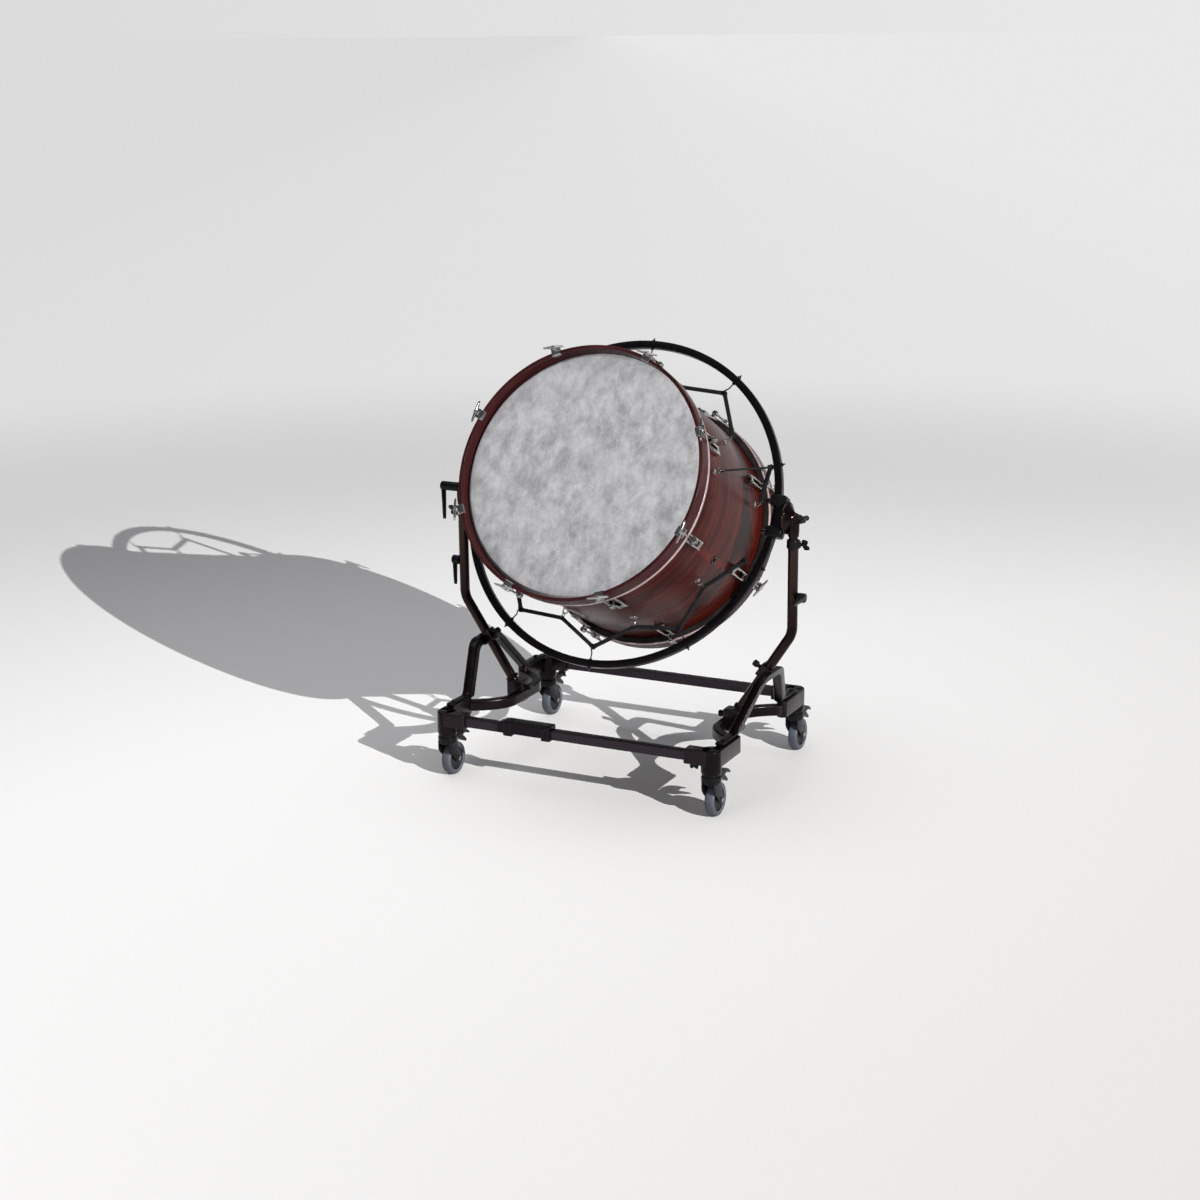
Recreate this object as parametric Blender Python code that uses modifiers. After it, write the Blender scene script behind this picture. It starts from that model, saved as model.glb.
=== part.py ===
"""Concert bass drum hung in a tilting ring on a wheeled, height-adjustable stand.

Metres, +Z up. The player stands on the -Y side. X runs along the tilt axis, and the
origin is on the floor, under the middle of the overall box. Each part is a named
object. Empties stand on the joint axes and carry the parts that move with them.
"""
import math

import bmesh
import bpy
from mathutils import Matrix, Vector

# Clearances
GAP = 0.0003
TURN_GAP = 0.0006
MERGE = 0.00001

# Drum
TILT = math.radians(27.1)
TRUNNION_HEIGHT = 0.817
DRUM_FORWARD = 0.010
DRUM_SIDES = 48
SHELL_RADIUS = 0.3556
SHELL_WALL = 0.0085
SHELL_LENGTH = 0.556
HEAD_THICKNESS = 0.0008
HOOP_RISE = 0.0224
HOOP_WALL = 0.010
HOOP_DEPTH = 0.050
HOOP_OVERHANG = 0.035
HOOP_CHAMFER = 0.003
FLESH_HOOP_WALL = 0.014
FLESH_HOOP_DEPTH = 0.011
VENT_ANGLE = 114.0
VENT_OFFSET = -0.010
VENT_FLANGE_RADIUS = 0.014
VENT_BARREL_RADIUS = 0.0098
VENT_HOLE_RADIUS = 0.0065
VENT_FLANGE = 0.0025
VENT_SIDES = 12

# Tension fittings
TENSION_COUNT = 8
TENSION_FIRST_ANGLE = 22.5
ROD_STANDOFF = 0.0085
ROD_RADIUS = 0.0033
ROD_SIDES = 6
LUG_LENGTH = 0.100
LUG_WIDTH = 0.028
LUG_HEIGHT = 0.015
LUG_RAIL = 0.007
LUG_INSET = 0.093
LUG_END = 0.019
TOWER_WIDTH = 0.016
TOWER_LENGTH = 0.018
TOWER_CAP = 0.008
LUG_SCREW_RADIUS = 0.0065
LUG_SCREW_HEAD = 0.005
LUG_SCREW_SPREAD = 0.036
CLAW_WIDTH = 0.028
CLAW_THICKNESS = 0.0045
CLAW_LIP = 0.009
CLAW_LIP_THICKNESS = 0.003
CLAW_SKIRT = 0.022
CLAW_EAR = 0.0075
HUB_RADIUS = 0.0075
HUB_LENGTH = 0.016
HANDLE_SPAN = 0.068
HANDLE_ROOT = 0.0115
HANDLE_TIP = 0.006
HANDLE_THICKNESS = 0.006
HANDLE_TURN = 12.0
ROD_IN_LUG = 0.014

# Eyelets, wire links and straps
EYELET_BASE_RADIUS = 0.011
EYELET_BASE = 0.003
ROOT = 0.0015
EYELET_HALF_WIDTH = 0.0085
EYELET_HEIGHT = 0.0165
EYELET_WIRE = 0.0018
MID_EYELET_ANGLES = (18, 54, 126, 162, 198, 234, 306, 342)
SIDE_EYELET_ANGLE = 78.0
SIDE_EYELET_INSET = 0.108
LINK_WIRE = 0.0012
LINK_LENGTH = 0.0185
LINK_NARROW = 0.005
STRAP_WIDTH = 0.013
STRAP_THICKNESS = 0.004
STRAP_EYE_RADIUS = 0.0065
STRAP_EYE_HOLE = 0.0036
SIDE_STRAP_EYE_RADIUS = 0.0085
SIDE_STRAP_EYE_HOLE = 0.0045
UPPER_CHAIN = (306, 324, 342, 360, 378, 396, 414)
LOWER_CHAIN = (108, 126, 144, 162, 180, 198, 216, 234, 252)
SIDE_HOOK_ANGLE = 72.0

# Tilt ring and its hooks
RING_SPACE = 0.1357
RING_SECTION = 0.022
RING_SIDES = 60
HOOK_COUNT = 10
HOOK_LENGTH = 0.0503
HOOK_WIRE = 0.0020
HOOK_BAR_HALF = 0.0105
HOOK_NECK_RISE = 0.016
HOOK_NUT_RADIUS = 0.0058
HOOK_NUT = 0.005
SIDE_STRAP_DROP = 0.0233

# Trunnion
BLOCK_INWARD = 0.0208
BLOCK_OUTWARD = 0.0287
BLOCK_HALF_LENGTH = 0.062
BLOCK_HALF_DEPTH = 0.018
BLOCK_PAD = 0.032
BLOCK_BOLT_RADIUS = 0.0085
BLOCK_BOLT_LENGTH = 0.019
BLOCK_BOLT_SIDES = 10
SHAFT_RADIUS = 0.008
SHAFT_LENGTH = 0.0310
SHAFT_SIDES = 12

# Pivot housings on the posts
POST_BEHIND_RIM = 0.0208
POST_SIDES = 12
HOUSING_SIDES = 16
HOUSING_RIM_RADIUS = 0.047
HOUSING_SPACE = 0.0035
HOUSING_RIM = 0.006
HOUSING_CONE = 0.0240
HOUSING_CONE_RADIUS = 0.020
HOUSING_NECK_RADIUS = 0.0165
HOUSING_LENGTH = 0.0325
POST_TOP_DROP = 0.0165

# Posts
UPPER_POST_RADIUS = 0.01285
UPPER_POST_WALL = 0.002
UPPER_POST_LIFT = 0.014
LOWER_POST_RADIUS = 0.015
LOWER_POST_DROP = 0.087
LOWER_POST_SLANT = math.radians(33.2)
LOWER_POST_BEND_RADIUS = 0.075
POST_FOOT_INSET = 0.0624
POST_FOOT_DROP = 0.001
BORE_LIFT = 0.0107
COLLAR_RADIUS = 0.019
COLLAR_HEIGHT = 0.025
COLLAR_SIDES = 16

# Wing screws
WING_STEM_RADIUS = 0.0042
WING_STEM = 0.008
WING_SPAN = 0.042
WING_DEPTH = 0.020
WING_THICKNESS = 0.005
WING_TURN = math.radians(-33.0)

# Levers and the tilt knob
LEVER_HUB_RADIUS = 0.014
TILT_LEVER_HUB = 0.0607
LEVER_SIDES = 12
TILT_LEVER_LENGTH = 0.105
LEVER_ARM_THICKNESS = 0.013
LEVER_ARM_ROOT = 0.018
LEVER_ARM_TIP = 0.010
HEIGHT_LEVER_DROP = 0.144
HEIGHT_LEVER_LENGTH = 0.079
HEIGHT_LEVER_HUB = 0.0244
KNOB_BASE_RADIUS = 0.0135
KNOB_STEP_RADIUS = 0.010
KNOB_BASE = 0.0100
KNOB_BAR_RISE = 0.0195
KNOB_BAR_HALF = 0.021
KNOB_BAR_RADIUS = 0.0048
KNOB_BALL_RADIUS = 0.0078

# Base frame
COLUMN_INSET = 0.1138
COLUMN_Y = 0.322
COLUMN_RADIUS = 0.030
COLUMN_SIDES = 12
COLUMN_HEIGHT = 0.071
SIDE_ARM_WIDTH = 0.033
SIDE_ARM_LENGTH = 0.1515
SIDE_ARM_HEIGHT = 0.051
ARM_CHAMFER = 0.008
RAIL_ARM_LENGTH = 0.0745
RAIL_ARM_HEIGHT = 0.044
RAIL_ARM_WIDTH = 0.044
RAIL_SIZE = 0.028
RAIL_WALL = 0.002
RAIL_OFFSET = 0.008
RAIL_DROP = 0.0225
RAIL_INSET = 0.0305
STEM_RADIUS = 0.006
STEM_RISE = 0.039
STEM_SIDES = 8
STEM_END_ROOM = 0.005

# Rail cover
COVER_LEFT = -0.2455
COVER_RIGHT = -0.0710
COVER_RAMP = 0.022
COVER_WALL = 0.0065
COVER_RISE = 0.003
COVER_RAMP_DROP = 0.007
COVER_HEIGHT = 0.037
SADDLE_HEIGHT = 0.0445
SADDLE_LENGTH = 0.027
SADDLE_PLACES = (-0.211, -0.085)

# Arches
ARCH_LEAN = math.radians(15.5)
ARCH_OUTWARD = 0.0215
ARCH_THICKNESS = 0.028
ARCH_TOE_INSET = 0.034
ARCH_TOE_HEIGHT = 0.010
ARCH_FOOT_INSET = 0.131
ARCH_SPREAD = 0.86
ARCH_LEG = 0.034
ARCH_HEIGHT = 0.150
ARCH_BAR = 0.024
ARCH_ROUNDING = 0.010

# Bows and clamps
BOW_HEIGHT = 0.033
BOW_DROP = 0.043
BOW_THICKNESS = 0.027
BOW_INSET = 0.0241
BOW_MIDDLE_HALF = 0.070
BOW_STEPS = 6
APEX_CLAMP_DROP = 0.005
APEX_CLAMP_SIZE = 0.040
FOOT_CLAMP_WIDTH = 0.044
FOOT_CLAMP_INWARD = 0.0321
FOOT_CLAMP_OUTWARD = 0.0239
FOOT_CLAMP_DROP = 0.049
FOOT_CLAMP_RISE = 0.019
CLAMP_KNOB_RADIUS = 0.010
CLAMP_KNOB_SIDES = 10
APEX_KNOB_LENGTH = 0.026
FOOT_KNOB_LENGTH = 0.021
FOOT_KNOB_DROP = 0.002
RAIL_SCREW_INSET = 0.025
RAIL_SCREW_SCALE = 0.65

# Casters
WHEEL_RADIUS = 0.050
WHEEL_WIDTH = 0.0295
WHEEL_SIDES = 18
WHEEL_TRAIL = 0.030
TYRE_DEPTH = 0.014
TYRE_SHOULDER = 0.006
HUB_WIDTH = 0.024
AXLE_RADIUS = 0.004
AXLE_HEAD_RADIUS = 0.0075
AXLE_HEAD = 0.003
AXLE_SIDES = 8
FORK_RADIUS = 0.029
FORK_SPACE = 0.006
FORK_HOOD = 0.030
FORK_ARM_THICKNESS = 0.0035
FORK_ARM_CLEARANCE = 0.0020
PEDAL_WIDTH = 0.028
PEDAL_BEHIND_AXLE = 0.007
PEDAL_RISE = 0.016

# Radii from the shell outwards
HOOP_RADIUS = SHELL_RADIUS + HOOP_RISE
HEAD_RADIUS = SHELL_RADIUS + GAP + HEAD_THICKNESS
ROD_CIRCLE = HOOP_RADIUS + ROD_STANDOFF
LINK_BAR = SHELL_RADIUS + EYELET_HEIGHT + LINK_LENGTH - LINK_NARROW
RING_RADIUS = SHELL_RADIUS + RING_SPACE
HOOK_REACH = RING_RADIUS - HOOK_LENGTH
HOOK_NECK = HOOK_REACH + HOOK_NECK_RISE
SIDE_STRAP_HOOK_RADIUS = RING_RADIUS - SIDE_STRAP_DROP

# Places along the drum's axis
BEARING_EDGE = SHELL_LENGTH / 2
HOOP_FACE = BEARING_EDGE + HOOP_OVERHANG
HOOP_BACK = HOOP_FACE - HOOP_DEPTH
CLAW_FACE = HOOP_FACE + CLAW_THICKNESS
LUG_CENTRE = BEARING_EDGE - LUG_INSET
LUG_HOOP_END = LUG_CENTRE + LUG_LENGTH / 2
SIDE_EYELET_OFFSET = BEARING_EDGE - SIDE_EYELET_INSET
TOWER_BORE = (ROD_RADIUS + TURN_GAP) / math.cos(math.pi / ROD_SIDES)

# Places along the tilt axis, from the ring outwards
BLOCK_INNER = RING_RADIUS - BLOCK_INWARD
BLOCK_OUTER = RING_RADIUS + BLOCK_OUTWARD
SHAFT_END = BLOCK_OUTER + SHAFT_LENGTH
HOUSING_RIM_X = BLOCK_OUTER + HOUSING_SPACE
HOUSING_CONE_X = HOUSING_RIM_X + HOUSING_CONE
HOUSING_END_X = HOUSING_RIM_X + HOUSING_LENGTH
POST_X = HOUSING_RIM_X + POST_BEHIND_RIM
KNOB_STEP_X = HOUSING_END_X + KNOB_BASE
KNOB_BAR_X = HOUSING_END_X + KNOB_BAR_RISE
LEVER_REACH = HOUSING_END_X + GAP + TILT_LEVER_HUB
HEIGHT_LEVER_START = POST_X + LOWER_POST_RADIUS + GAP
HEIGHT_LEVER_REACH = HEIGHT_LEVER_START + HEIGHT_LEVER_HUB

# Places of the base frame's parts
COLUMN_X = POST_X - COLUMN_INSET
RAIL_ARM_END = COLUMN_X - RAIL_ARM_LENGTH
RAIL_END = COLUMN_X - RAIL_INSET
RAIL_Y = COLUMN_Y + RAIL_OFFSET
SIDE_ARM_END = COLUMN_Y - SIDE_ARM_LENGTH
ARCH_X = COLUMN_X + ARCH_OUTWARD - ARCH_THICKNESS / 2
ARCH_TOE = COLUMN_Y - ARCH_TOE_INSET
ARCH_FOOT = COLUMN_Y - ARCH_FOOT_INSET
POST_FOOT_X = COLUMN_X - POST_FOOT_INSET
BOW_MIDDLE_X = POST_FOOT_X - BOW_INSET
FOOT_CLAMP_INNER = POST_FOOT_X - FOOT_CLAMP_INWARD
FOOT_CLAMP_OUTER = POST_FOOT_X + FOOT_CLAMP_OUTWARD
PEDAL_PIVOT_Y = WHEEL_TRAIL + PEDAL_BEHIND_AXLE

# Heights, from the wheels up
FORK_BOTTOM = 2 * WHEEL_RADIUS + FORK_SPACE
PEDAL_PIVOT_Z = FORK_BOTTOM + PEDAL_RISE
COLUMN_BOTTOM = FORK_BOTTOM + FORK_HOOD
STEM_TOP = COLUMN_BOTTOM + STEM_RISE
STEM_BORE_TOP = STEM_TOP + STEM_END_ROOM
FRAME_TOP = COLUMN_BOTTOM + COLUMN_HEIGHT
SIDE_ARM_BOTTOM = FRAME_TOP - SIDE_ARM_HEIGHT
RAIL_ARM_BOTTOM = FRAME_TOP - RAIL_ARM_HEIGHT
RAIL_Z = FRAME_TOP - RAIL_DROP
COVER_TOP = FRAME_TOP + COVER_RISE
COVER_RAMP_LOW = COVER_TOP - COVER_RAMP_DROP
COVER_BOTTOM = COVER_TOP - COVER_HEIGHT
SADDLE_BOTTOM = COVER_TOP - SADDLE_HEIGHT
BOW_BOTTOM = FRAME_TOP - BOW_DROP
FOOT_CLAMP_BOTTOM = FRAME_TOP - FOOT_CLAMP_DROP
FOOT_CLAMP_TOP = FRAME_TOP + FOOT_CLAMP_RISE
FOOT_KNOB_Z = FRAME_TOP - FOOT_KNOB_DROP
ARCH_TOP = FRAME_TOP + ARCH_HEIGHT
ARCH_CROWN = ARCH_TOP - ARCH_BAR
APEX_CLAMP_Z = ARCH_TOP - APEX_CLAMP_DROP
LOWER_POST_END = FRAME_TOP - POST_FOOT_DROP
LOWER_POST_BEND = LOWER_POST_END + (POST_X - POST_FOOT_X) / math.tan(LOWER_POST_SLANT)
BORE_FLOOR = LOWER_POST_BEND + BORE_LIFT
UPPER_POST_BOTTOM = BORE_FLOOR + UPPER_POST_LIFT
LOWER_POST_TOP = TRUNNION_HEIGHT - LOWER_POST_DROP
HEIGHT_LEVER_Z = LOWER_POST_TOP - HEIGHT_LEVER_DROP

# The origin goes under the middle of the overall box
WING_REACH = POST_X + COLLAR_RADIUS + GAP + WING_STEM + WING_DEPTH
SHIFT_X = (LEVER_REACH - WING_REACH) / 2
SHIFT_Y = DRUM_FORWARD * math.cos(TILT)

SIDES = (("left", -1), ("right", 1))
CORNERS = (("front_left", -1, -1), ("front_right", 1, -1), ("rear_left", -1, 1), ("rear_right", 1, 1))


def clear_scene():
    for obj in list(bpy.data.objects):
        bpy.data.objects.remove(obj)


def make_collection(name):
    collection = bpy.data.collections.new(name)
    bpy.context.scene.collection.children.link(collection)
    return collection


def make_material(name, colour, roughness, metallic):
    material = bpy.data.materials.new(name)
    material.use_nodes = True
    shader = material.node_tree.nodes["Principled BSDF"]
    shader.inputs["Base Color"].default_value = (*colour, 1)
    shader.inputs["Roughness"].default_value = roughness
    shader.inputs["Metallic"].default_value = metallic
    return material


def make_empty(name, location, parent=None, turn=0.0):
    empty = bpy.data.objects.new(name, None)
    PARTS.objects.link(empty)
    empty.parent = parent
    empty.location = location
    empty.rotation_euler = (turn, 0, 0)
    return empty


def sketch(mesh, name="sketch"):
    """Put a working shape into the scene."""
    obj = bpy.data.objects.new(name, mesh)
    WORK.objects.link(obj)
    return obj


def settle(obj):
    """Apply an object's modifiers and matrix, and return it as a plain mesh object."""
    graph = bpy.context.evaluated_depsgraph_get()
    mesh = bpy.data.meshes.new_from_object(obj.evaluated_get(graph))
    mesh.transform(obj.matrix_world)
    shape = bmesh.new()
    shape.from_mesh(mesh)
    bmesh.ops.remove_doubles(shape, verts=shape.verts, dist=MERGE)
    shape.to_mesh(mesh)
    shape.free()
    bpy.data.objects.remove(obj)
    return sketch(mesh)


def box(low, high):
    """A block between two corners."""
    middle = (Vector(low) + Vector(high)) / 2
    size = Vector(high) - Vector(low)
    shape = bmesh.new()
    place = Matrix.Translation(middle) @ Matrix.Diagonal((*size, 1))
    bmesh.ops.create_cube(shape, size=1, matrix=place)
    mesh = bpy.data.meshes.new("box")
    shape.to_mesh(mesh)
    shape.free()
    return sketch(mesh)


AXIS_TURNS = {
    "X": Matrix.Rotation(math.radians(90), 4, "Y"),
    "Y": Matrix.Rotation(math.radians(-90), 4, "X"),
    "Z": Matrix.Identity(4),
}


def rod(start, end, radius, sides, end_radius=None):
    """A round bar or cone between two points."""
    start = Vector(start)
    end = Vector(end)
    along = end - start
    aim = along.to_track_quat("Z", "Y").to_matrix().to_4x4()
    place = Matrix.Translation((start + end) / 2) @ aim
    shape = bmesh.new()
    tip = radius if end_radius is None else end_radius
    bmesh.ops.create_cone(shape, cap_ends=True, segments=sides, radius1=radius, radius2=tip,
                          depth=along.length, matrix=place)
    mesh = bpy.data.meshes.new("rod")
    shape.to_mesh(mesh)
    shape.free()
    return sketch(mesh)


def ball(centre, radius, across, rings):
    shape = bmesh.new()
    bmesh.ops.create_uvsphere(shape, u_segments=across, v_segments=rings, radius=radius,
                              matrix=Matrix.Translation(centre))
    mesh = bpy.data.meshes.new("ball")
    shape.to_mesh(mesh)
    shape.free()
    return sketch(mesh)


def turned(profile, sides, axis="Z", hollow=False, half_step=False):
    """Turn (radius, height) points, given from the top down the outer side."""
    mesh = bpy.data.meshes.new("profile")
    count = len(profile)
    edges = [(index, index + 1) for index in range(count - 1)]
    if hollow:
        edges.append((count - 1, 0))
    mesh.from_pydata([(radius, 0, height) for radius, height in profile], edges, [])
    obj = sketch(mesh)
    screw = obj.modifiers.new("Turn", "SCREW")
    screw.steps = sides
    screw.render_steps = sides
    screw.use_merge_vertices = True
    screw.merge_threshold = MERGE
    phase = Matrix.Rotation(math.pi / sides if half_step else 0, 4, "Z")
    obj.matrix_world = AXIS_TURNS[axis] @ phase
    bpy.context.view_layer.update()
    return settle(obj)


OUTLINE_TURNS = {
    "X": Matrix(((0, 0, 1, 0), (1, 0, 0, 0), (0, 1, 0, 0), (0, 0, 0, 1))),
    "Y": Matrix(((0, 1, 0, 0), (0, 0, 1, 0), (1, 0, 0, 0), (0, 0, 0, 1))),
    "Z": Matrix.Identity(4),
}


def plate(outlines, thickness, axis="Z", centre=0.0):
    """Extrude flat outlines along an axis; outlines inside the first are holes.

    Points are (y, z) for axis X, (z, x) for axis Y and (x, y) for axis Z.
    """
    curve = bpy.data.curves.new("outline", "CURVE")
    curve.dimensions = "2D"
    curve.fill_mode = "BOTH"
    curve.extrude = thickness / 2
    for outline in outlines:
        spline = curve.splines.new("POLY")
        spline.points.add(len(outline) - 1)
        for point, place in zip(spline.points, outline):
            point.co = (*place, 0, 1)
        spline.use_cyclic_u = True
    obj = sketch(curve)
    obj.matrix_world = OUTLINE_TURNS[axis] @ Matrix.Translation((0, 0, centre))
    bpy.context.view_layer.update()
    return outward(settle(obj))


def outward(obj):
    """Point every face of a closed mesh outwards."""
    shape = bmesh.new()
    shape.from_mesh(obj.data)
    bmesh.ops.recalc_face_normals(shape, faces=shape.faces)
    shape.to_mesh(obj.data)
    shape.free()
    return obj


def wire(points, radius, resolution, cyclic=False):
    """A round bar along points; it has 4 + 2 * resolution sides."""
    curve = bpy.data.curves.new("wire", "CURVE")
    curve.dimensions = "3D"
    curve.bevel_depth = radius
    curve.bevel_resolution = resolution
    curve.use_fill_caps = not cyclic
    spline = curve.splines.new("POLY")
    spline.points.add(len(points) - 1)
    for point, place in zip(spline.points, points):
        point.co = (*place, 1)
    spline.use_cyclic_u = cyclic
    obj = sketch(curve)
    bpy.context.view_layer.update()
    return outward(settle(obj))


def boolean(target, tools, operation):
    for tool in tools:
        modifier = target.modifiers.new(operation.title(), "BOOLEAN")
        modifier.operation = operation
        modifier.solver = "EXACT"
        modifier.object = tool
        tool.hide_render = True
        tool.display_type = "WIRE"
    result = settle(target)
    for tool in tools:
        bpy.data.objects.remove(tool)
    return result


def fuse(target, *tools):
    return boolean(target, tools, "UNION")


def cut(target, *tools):
    return boolean(target, tools, "DIFFERENCE")


def moved(obj, matrix):
    obj.data.transform(matrix)
    if matrix.determinant() < 0:
        obj.data.flip_normals()
    return obj


def copy_of(obj, matrix=None):
    twin = sketch(obj.data.copy())
    if matrix is not None:
        moved(twin, matrix)
    return twin


def mirrored(obj, x_side, y_side=1):
    return copy_of(obj, Matrix.Diagonal((x_side, y_side, 1, 1)))


def gather(shapes):
    """Put separate solids into one mesh, without joining them."""
    joined = bmesh.new()
    for obj in shapes:
        joined.from_mesh(obj.data)
    mesh = bpy.data.meshes.new("group")
    joined.to_mesh(mesh)
    joined.free()
    for obj in shapes:
        bpy.data.objects.remove(obj)
    return sketch(mesh)


def repeated(obj, matrices):
    copies = [copy_of(obj, matrix) for matrix in matrices]
    bpy.data.objects.remove(obj)
    return gather(copies)


def add_part(name, obj, material, parent):
    """Finish a working shape as a named part on its parent empty."""
    WORK.objects.unlink(obj)
    PARTS.objects.link(obj)
    obj.name = name
    obj.data.name = name
    obj.data.materials.clear()
    obj.data.materials.append(material)
    obj.data.shade_smooth()
    obj.data.set_sharp_from_angle(angle=math.radians(35))
    obj.parent = parent
    return obj


def clear_radius(radius, sides, gap=GAP):
    """Corner radius of a faceted bore whose flats clear a bar of this radius."""
    return (radius + gap) / math.cos(math.pi / sides)


def around(angle, radius, axial=0.0):
    """A point at an angle in degrees from the drum's top, towards +X."""
    turn = math.radians(angle)
    return Vector((radius * math.sin(turn), radius * math.cos(turn), axial))


def fitting(angle, radius, axial=0.0, end=1):
    """Place a fitting whose +Y is outward and whose +Z faces its own head."""
    place = Matrix.Rotation(-math.radians(angle), 4, "Z") @ Matrix.Translation((0, radius, axial))
    if end < 0:
        place = place @ Matrix.Rotation(math.pi, 4, "Y")
    return place


def tension_places(radius, axial, ends=(1, -1)):
    step = 360.0 / TENSION_COUNT
    return [fitting(TENSION_FIRST_ANGLE + step * index, radius, end * axial, end)
            for end in ends for index in range(TENSION_COUNT)]


def both_ends(name, shape, material, parent):
    """Add a part for the front head's end and its turned twin for the rear."""
    rear = copy_of(shape, Matrix.Rotation(math.pi, 4, "X"))
    add_part("front_" + name, shape, material, parent)
    add_part("rear_" + name, rear, material, parent)


def make_shell():
    """The shell with what is bolted to it: lugs, their screws and the strap eyelets."""
    inner = SHELL_RADIUS - SHELL_WALL
    shell = turned([(SHELL_RADIUS, BEARING_EDGE), (SHELL_RADIUS, -BEARING_EDGE),
                    (inner, -BEARING_EDGE), (inner, BEARING_EDGE)], DRUM_SIDES, hollow=True)
    shell = fuse(shell, all_lugs(), all_lug_screws(), all_eyelets())
    hole = rod(around(VENT_ANGLE, inner - SHELL_WALL, VENT_OFFSET),
               around(VENT_ANGLE, SHELL_RADIUS + SHELL_WALL, VENT_OFFSET),
               clear_radius(VENT_BARREL_RADIUS, VENT_SIDES), VENT_SIDES)
    add_part("shell", cut(shell, hole), MAHOGANY, DRUM_CENTRE)


def make_air_vent():
    depth = SHELL_WALL + VENT_FLANGE
    vent = turned([(VENT_FLANGE_RADIUS, VENT_FLANGE), (VENT_FLANGE_RADIUS, 0),
                   (VENT_BARREL_RADIUS, 0), (VENT_BARREL_RADIUS, -depth),
                   (VENT_HOLE_RADIUS, -depth), (VENT_HOLE_RADIUS, VENT_FLANGE)],
                  VENT_SIDES, axis="Y", hollow=True)
    moved(vent, fitting(VENT_ANGLE, SHELL_RADIUS + GAP, VENT_OFFSET))
    add_part("air_vent", vent, BLACK_METAL, DRUM_CENTRE)


def make_heads():
    """Each head is a skin with its flesh hoop, stretched over the bearing edge."""
    inside = SHELL_RADIUS + GAP
    film = BEARING_EDGE + GAP
    top = film + HEAD_THICKNESS
    rim = HOOP_BACK - GAP
    outer = HEAD_RADIUS + FLESH_HOOP_WALL
    head = turned([(0, top), (HEAD_RADIUS, top), (HEAD_RADIUS, rim), (outer, rim),
                   (outer, rim - FLESH_HOOP_DEPTH), (inside, rim - FLESH_HOOP_DEPTH),
                   (inside, film), (0, film)], DRUM_SIDES)
    both_ends("head", head, SKIN, DRUM_CENTRE)


def make_counterhoops():
    """Each wooden hoop with the claw hooks that pull it down."""
    inner = HOOP_RADIUS - HOOP_WALL
    edge = HOOP_RADIUS - HOOP_CHAMFER
    hoop = turned([(inner, HOOP_FACE), (edge, HOOP_FACE), (HOOP_RADIUS, HOOP_FACE - HOOP_CHAMFER),
                   (HOOP_RADIUS, HOOP_BACK), (inner, HOOP_BACK)], DRUM_SIDES, hollow=True)
    both_ends("counterhoop", fuse(hoop, front_claws()), HOOP_WOOD, DRUM_CENTRE)


def all_lugs():
    half = LUG_WIDTH / 2
    window = half - LUG_RAIL
    reach = LUG_LENGTH / 2
    rise = ROD_CIRCLE - SHELL_RADIUS
    lug = box((-half, -ROOT, -reach), (half, LUG_HEIGHT, reach))
    opening = box((-window, -LUG_HEIGHT, LUG_END - reach),
                  (window, 2 * LUG_HEIGHT, reach - LUG_END))
    tower = box((-TOWER_WIDTH / 2, LUG_HEIGHT / 2, reach - TOWER_LENGTH),
                (TOWER_WIDTH / 2, rise + TOWER_CAP, reach))
    bore = rod((0, rise, 0), (0, rise, 2 * reach), TOWER_BORE, ROD_SIDES)
    lug = cut(fuse(cut(lug, opening), tower), bore)
    return repeated(lug, tension_places(SHELL_RADIUS, LUG_CENTRE))


def all_lug_screws():
    """Square screw heads inside the shell, two behind each lug."""
    inner = SHELL_RADIUS - SHELL_WALL
    heads = []
    for spread in (-LUG_SCREW_SPREAD, LUG_SCREW_SPREAD):
        head = rod((0, -LUG_SCREW_HEAD, 0), (0, ROOT, 0), LUG_SCREW_RADIUS, 4)
        heads.append(repeated(head, tension_places(inner, LUG_CENTRE + spread)))
    return gather(heads)


def front_claws():
    lip_top = HOOP_RADIUS - HOOP_WALL + ROOT
    lip_low = HOOP_RADIUS - HOOP_WALL - CLAW_LIP_THICKNESS
    skirt = HOOP_RADIUS - ROOT
    skirt_top = HOOP_RADIUS + CLAW_LIP_THICKNESS
    ear = ROD_CIRCLE + CLAW_EAR
    back = HOOP_FACE - ROOT
    outline = [(lip_low, CLAW_FACE), (lip_low, HOOP_FACE - CLAW_LIP), (lip_top, HOOP_FACE - CLAW_LIP),
               (lip_top, back), (skirt, back), (skirt, HOOP_FACE - CLAW_SKIRT),
               (skirt_top, HOOP_FACE - CLAW_SKIRT), (skirt_top, HOOP_FACE), (ear, HOOP_FACE),
               (ear, CLAW_FACE)]
    claw = plate([outline], CLAW_WIDTH, "X")
    bore = rod((0, ROD_CIRCLE, back - GAP), (0, ROD_CIRCLE, CLAW_FACE + GAP), TOWER_BORE, ROD_SIDES)
    return repeated(cut(claw, bore), tension_places(0, 0, ends=(1,)))


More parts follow.
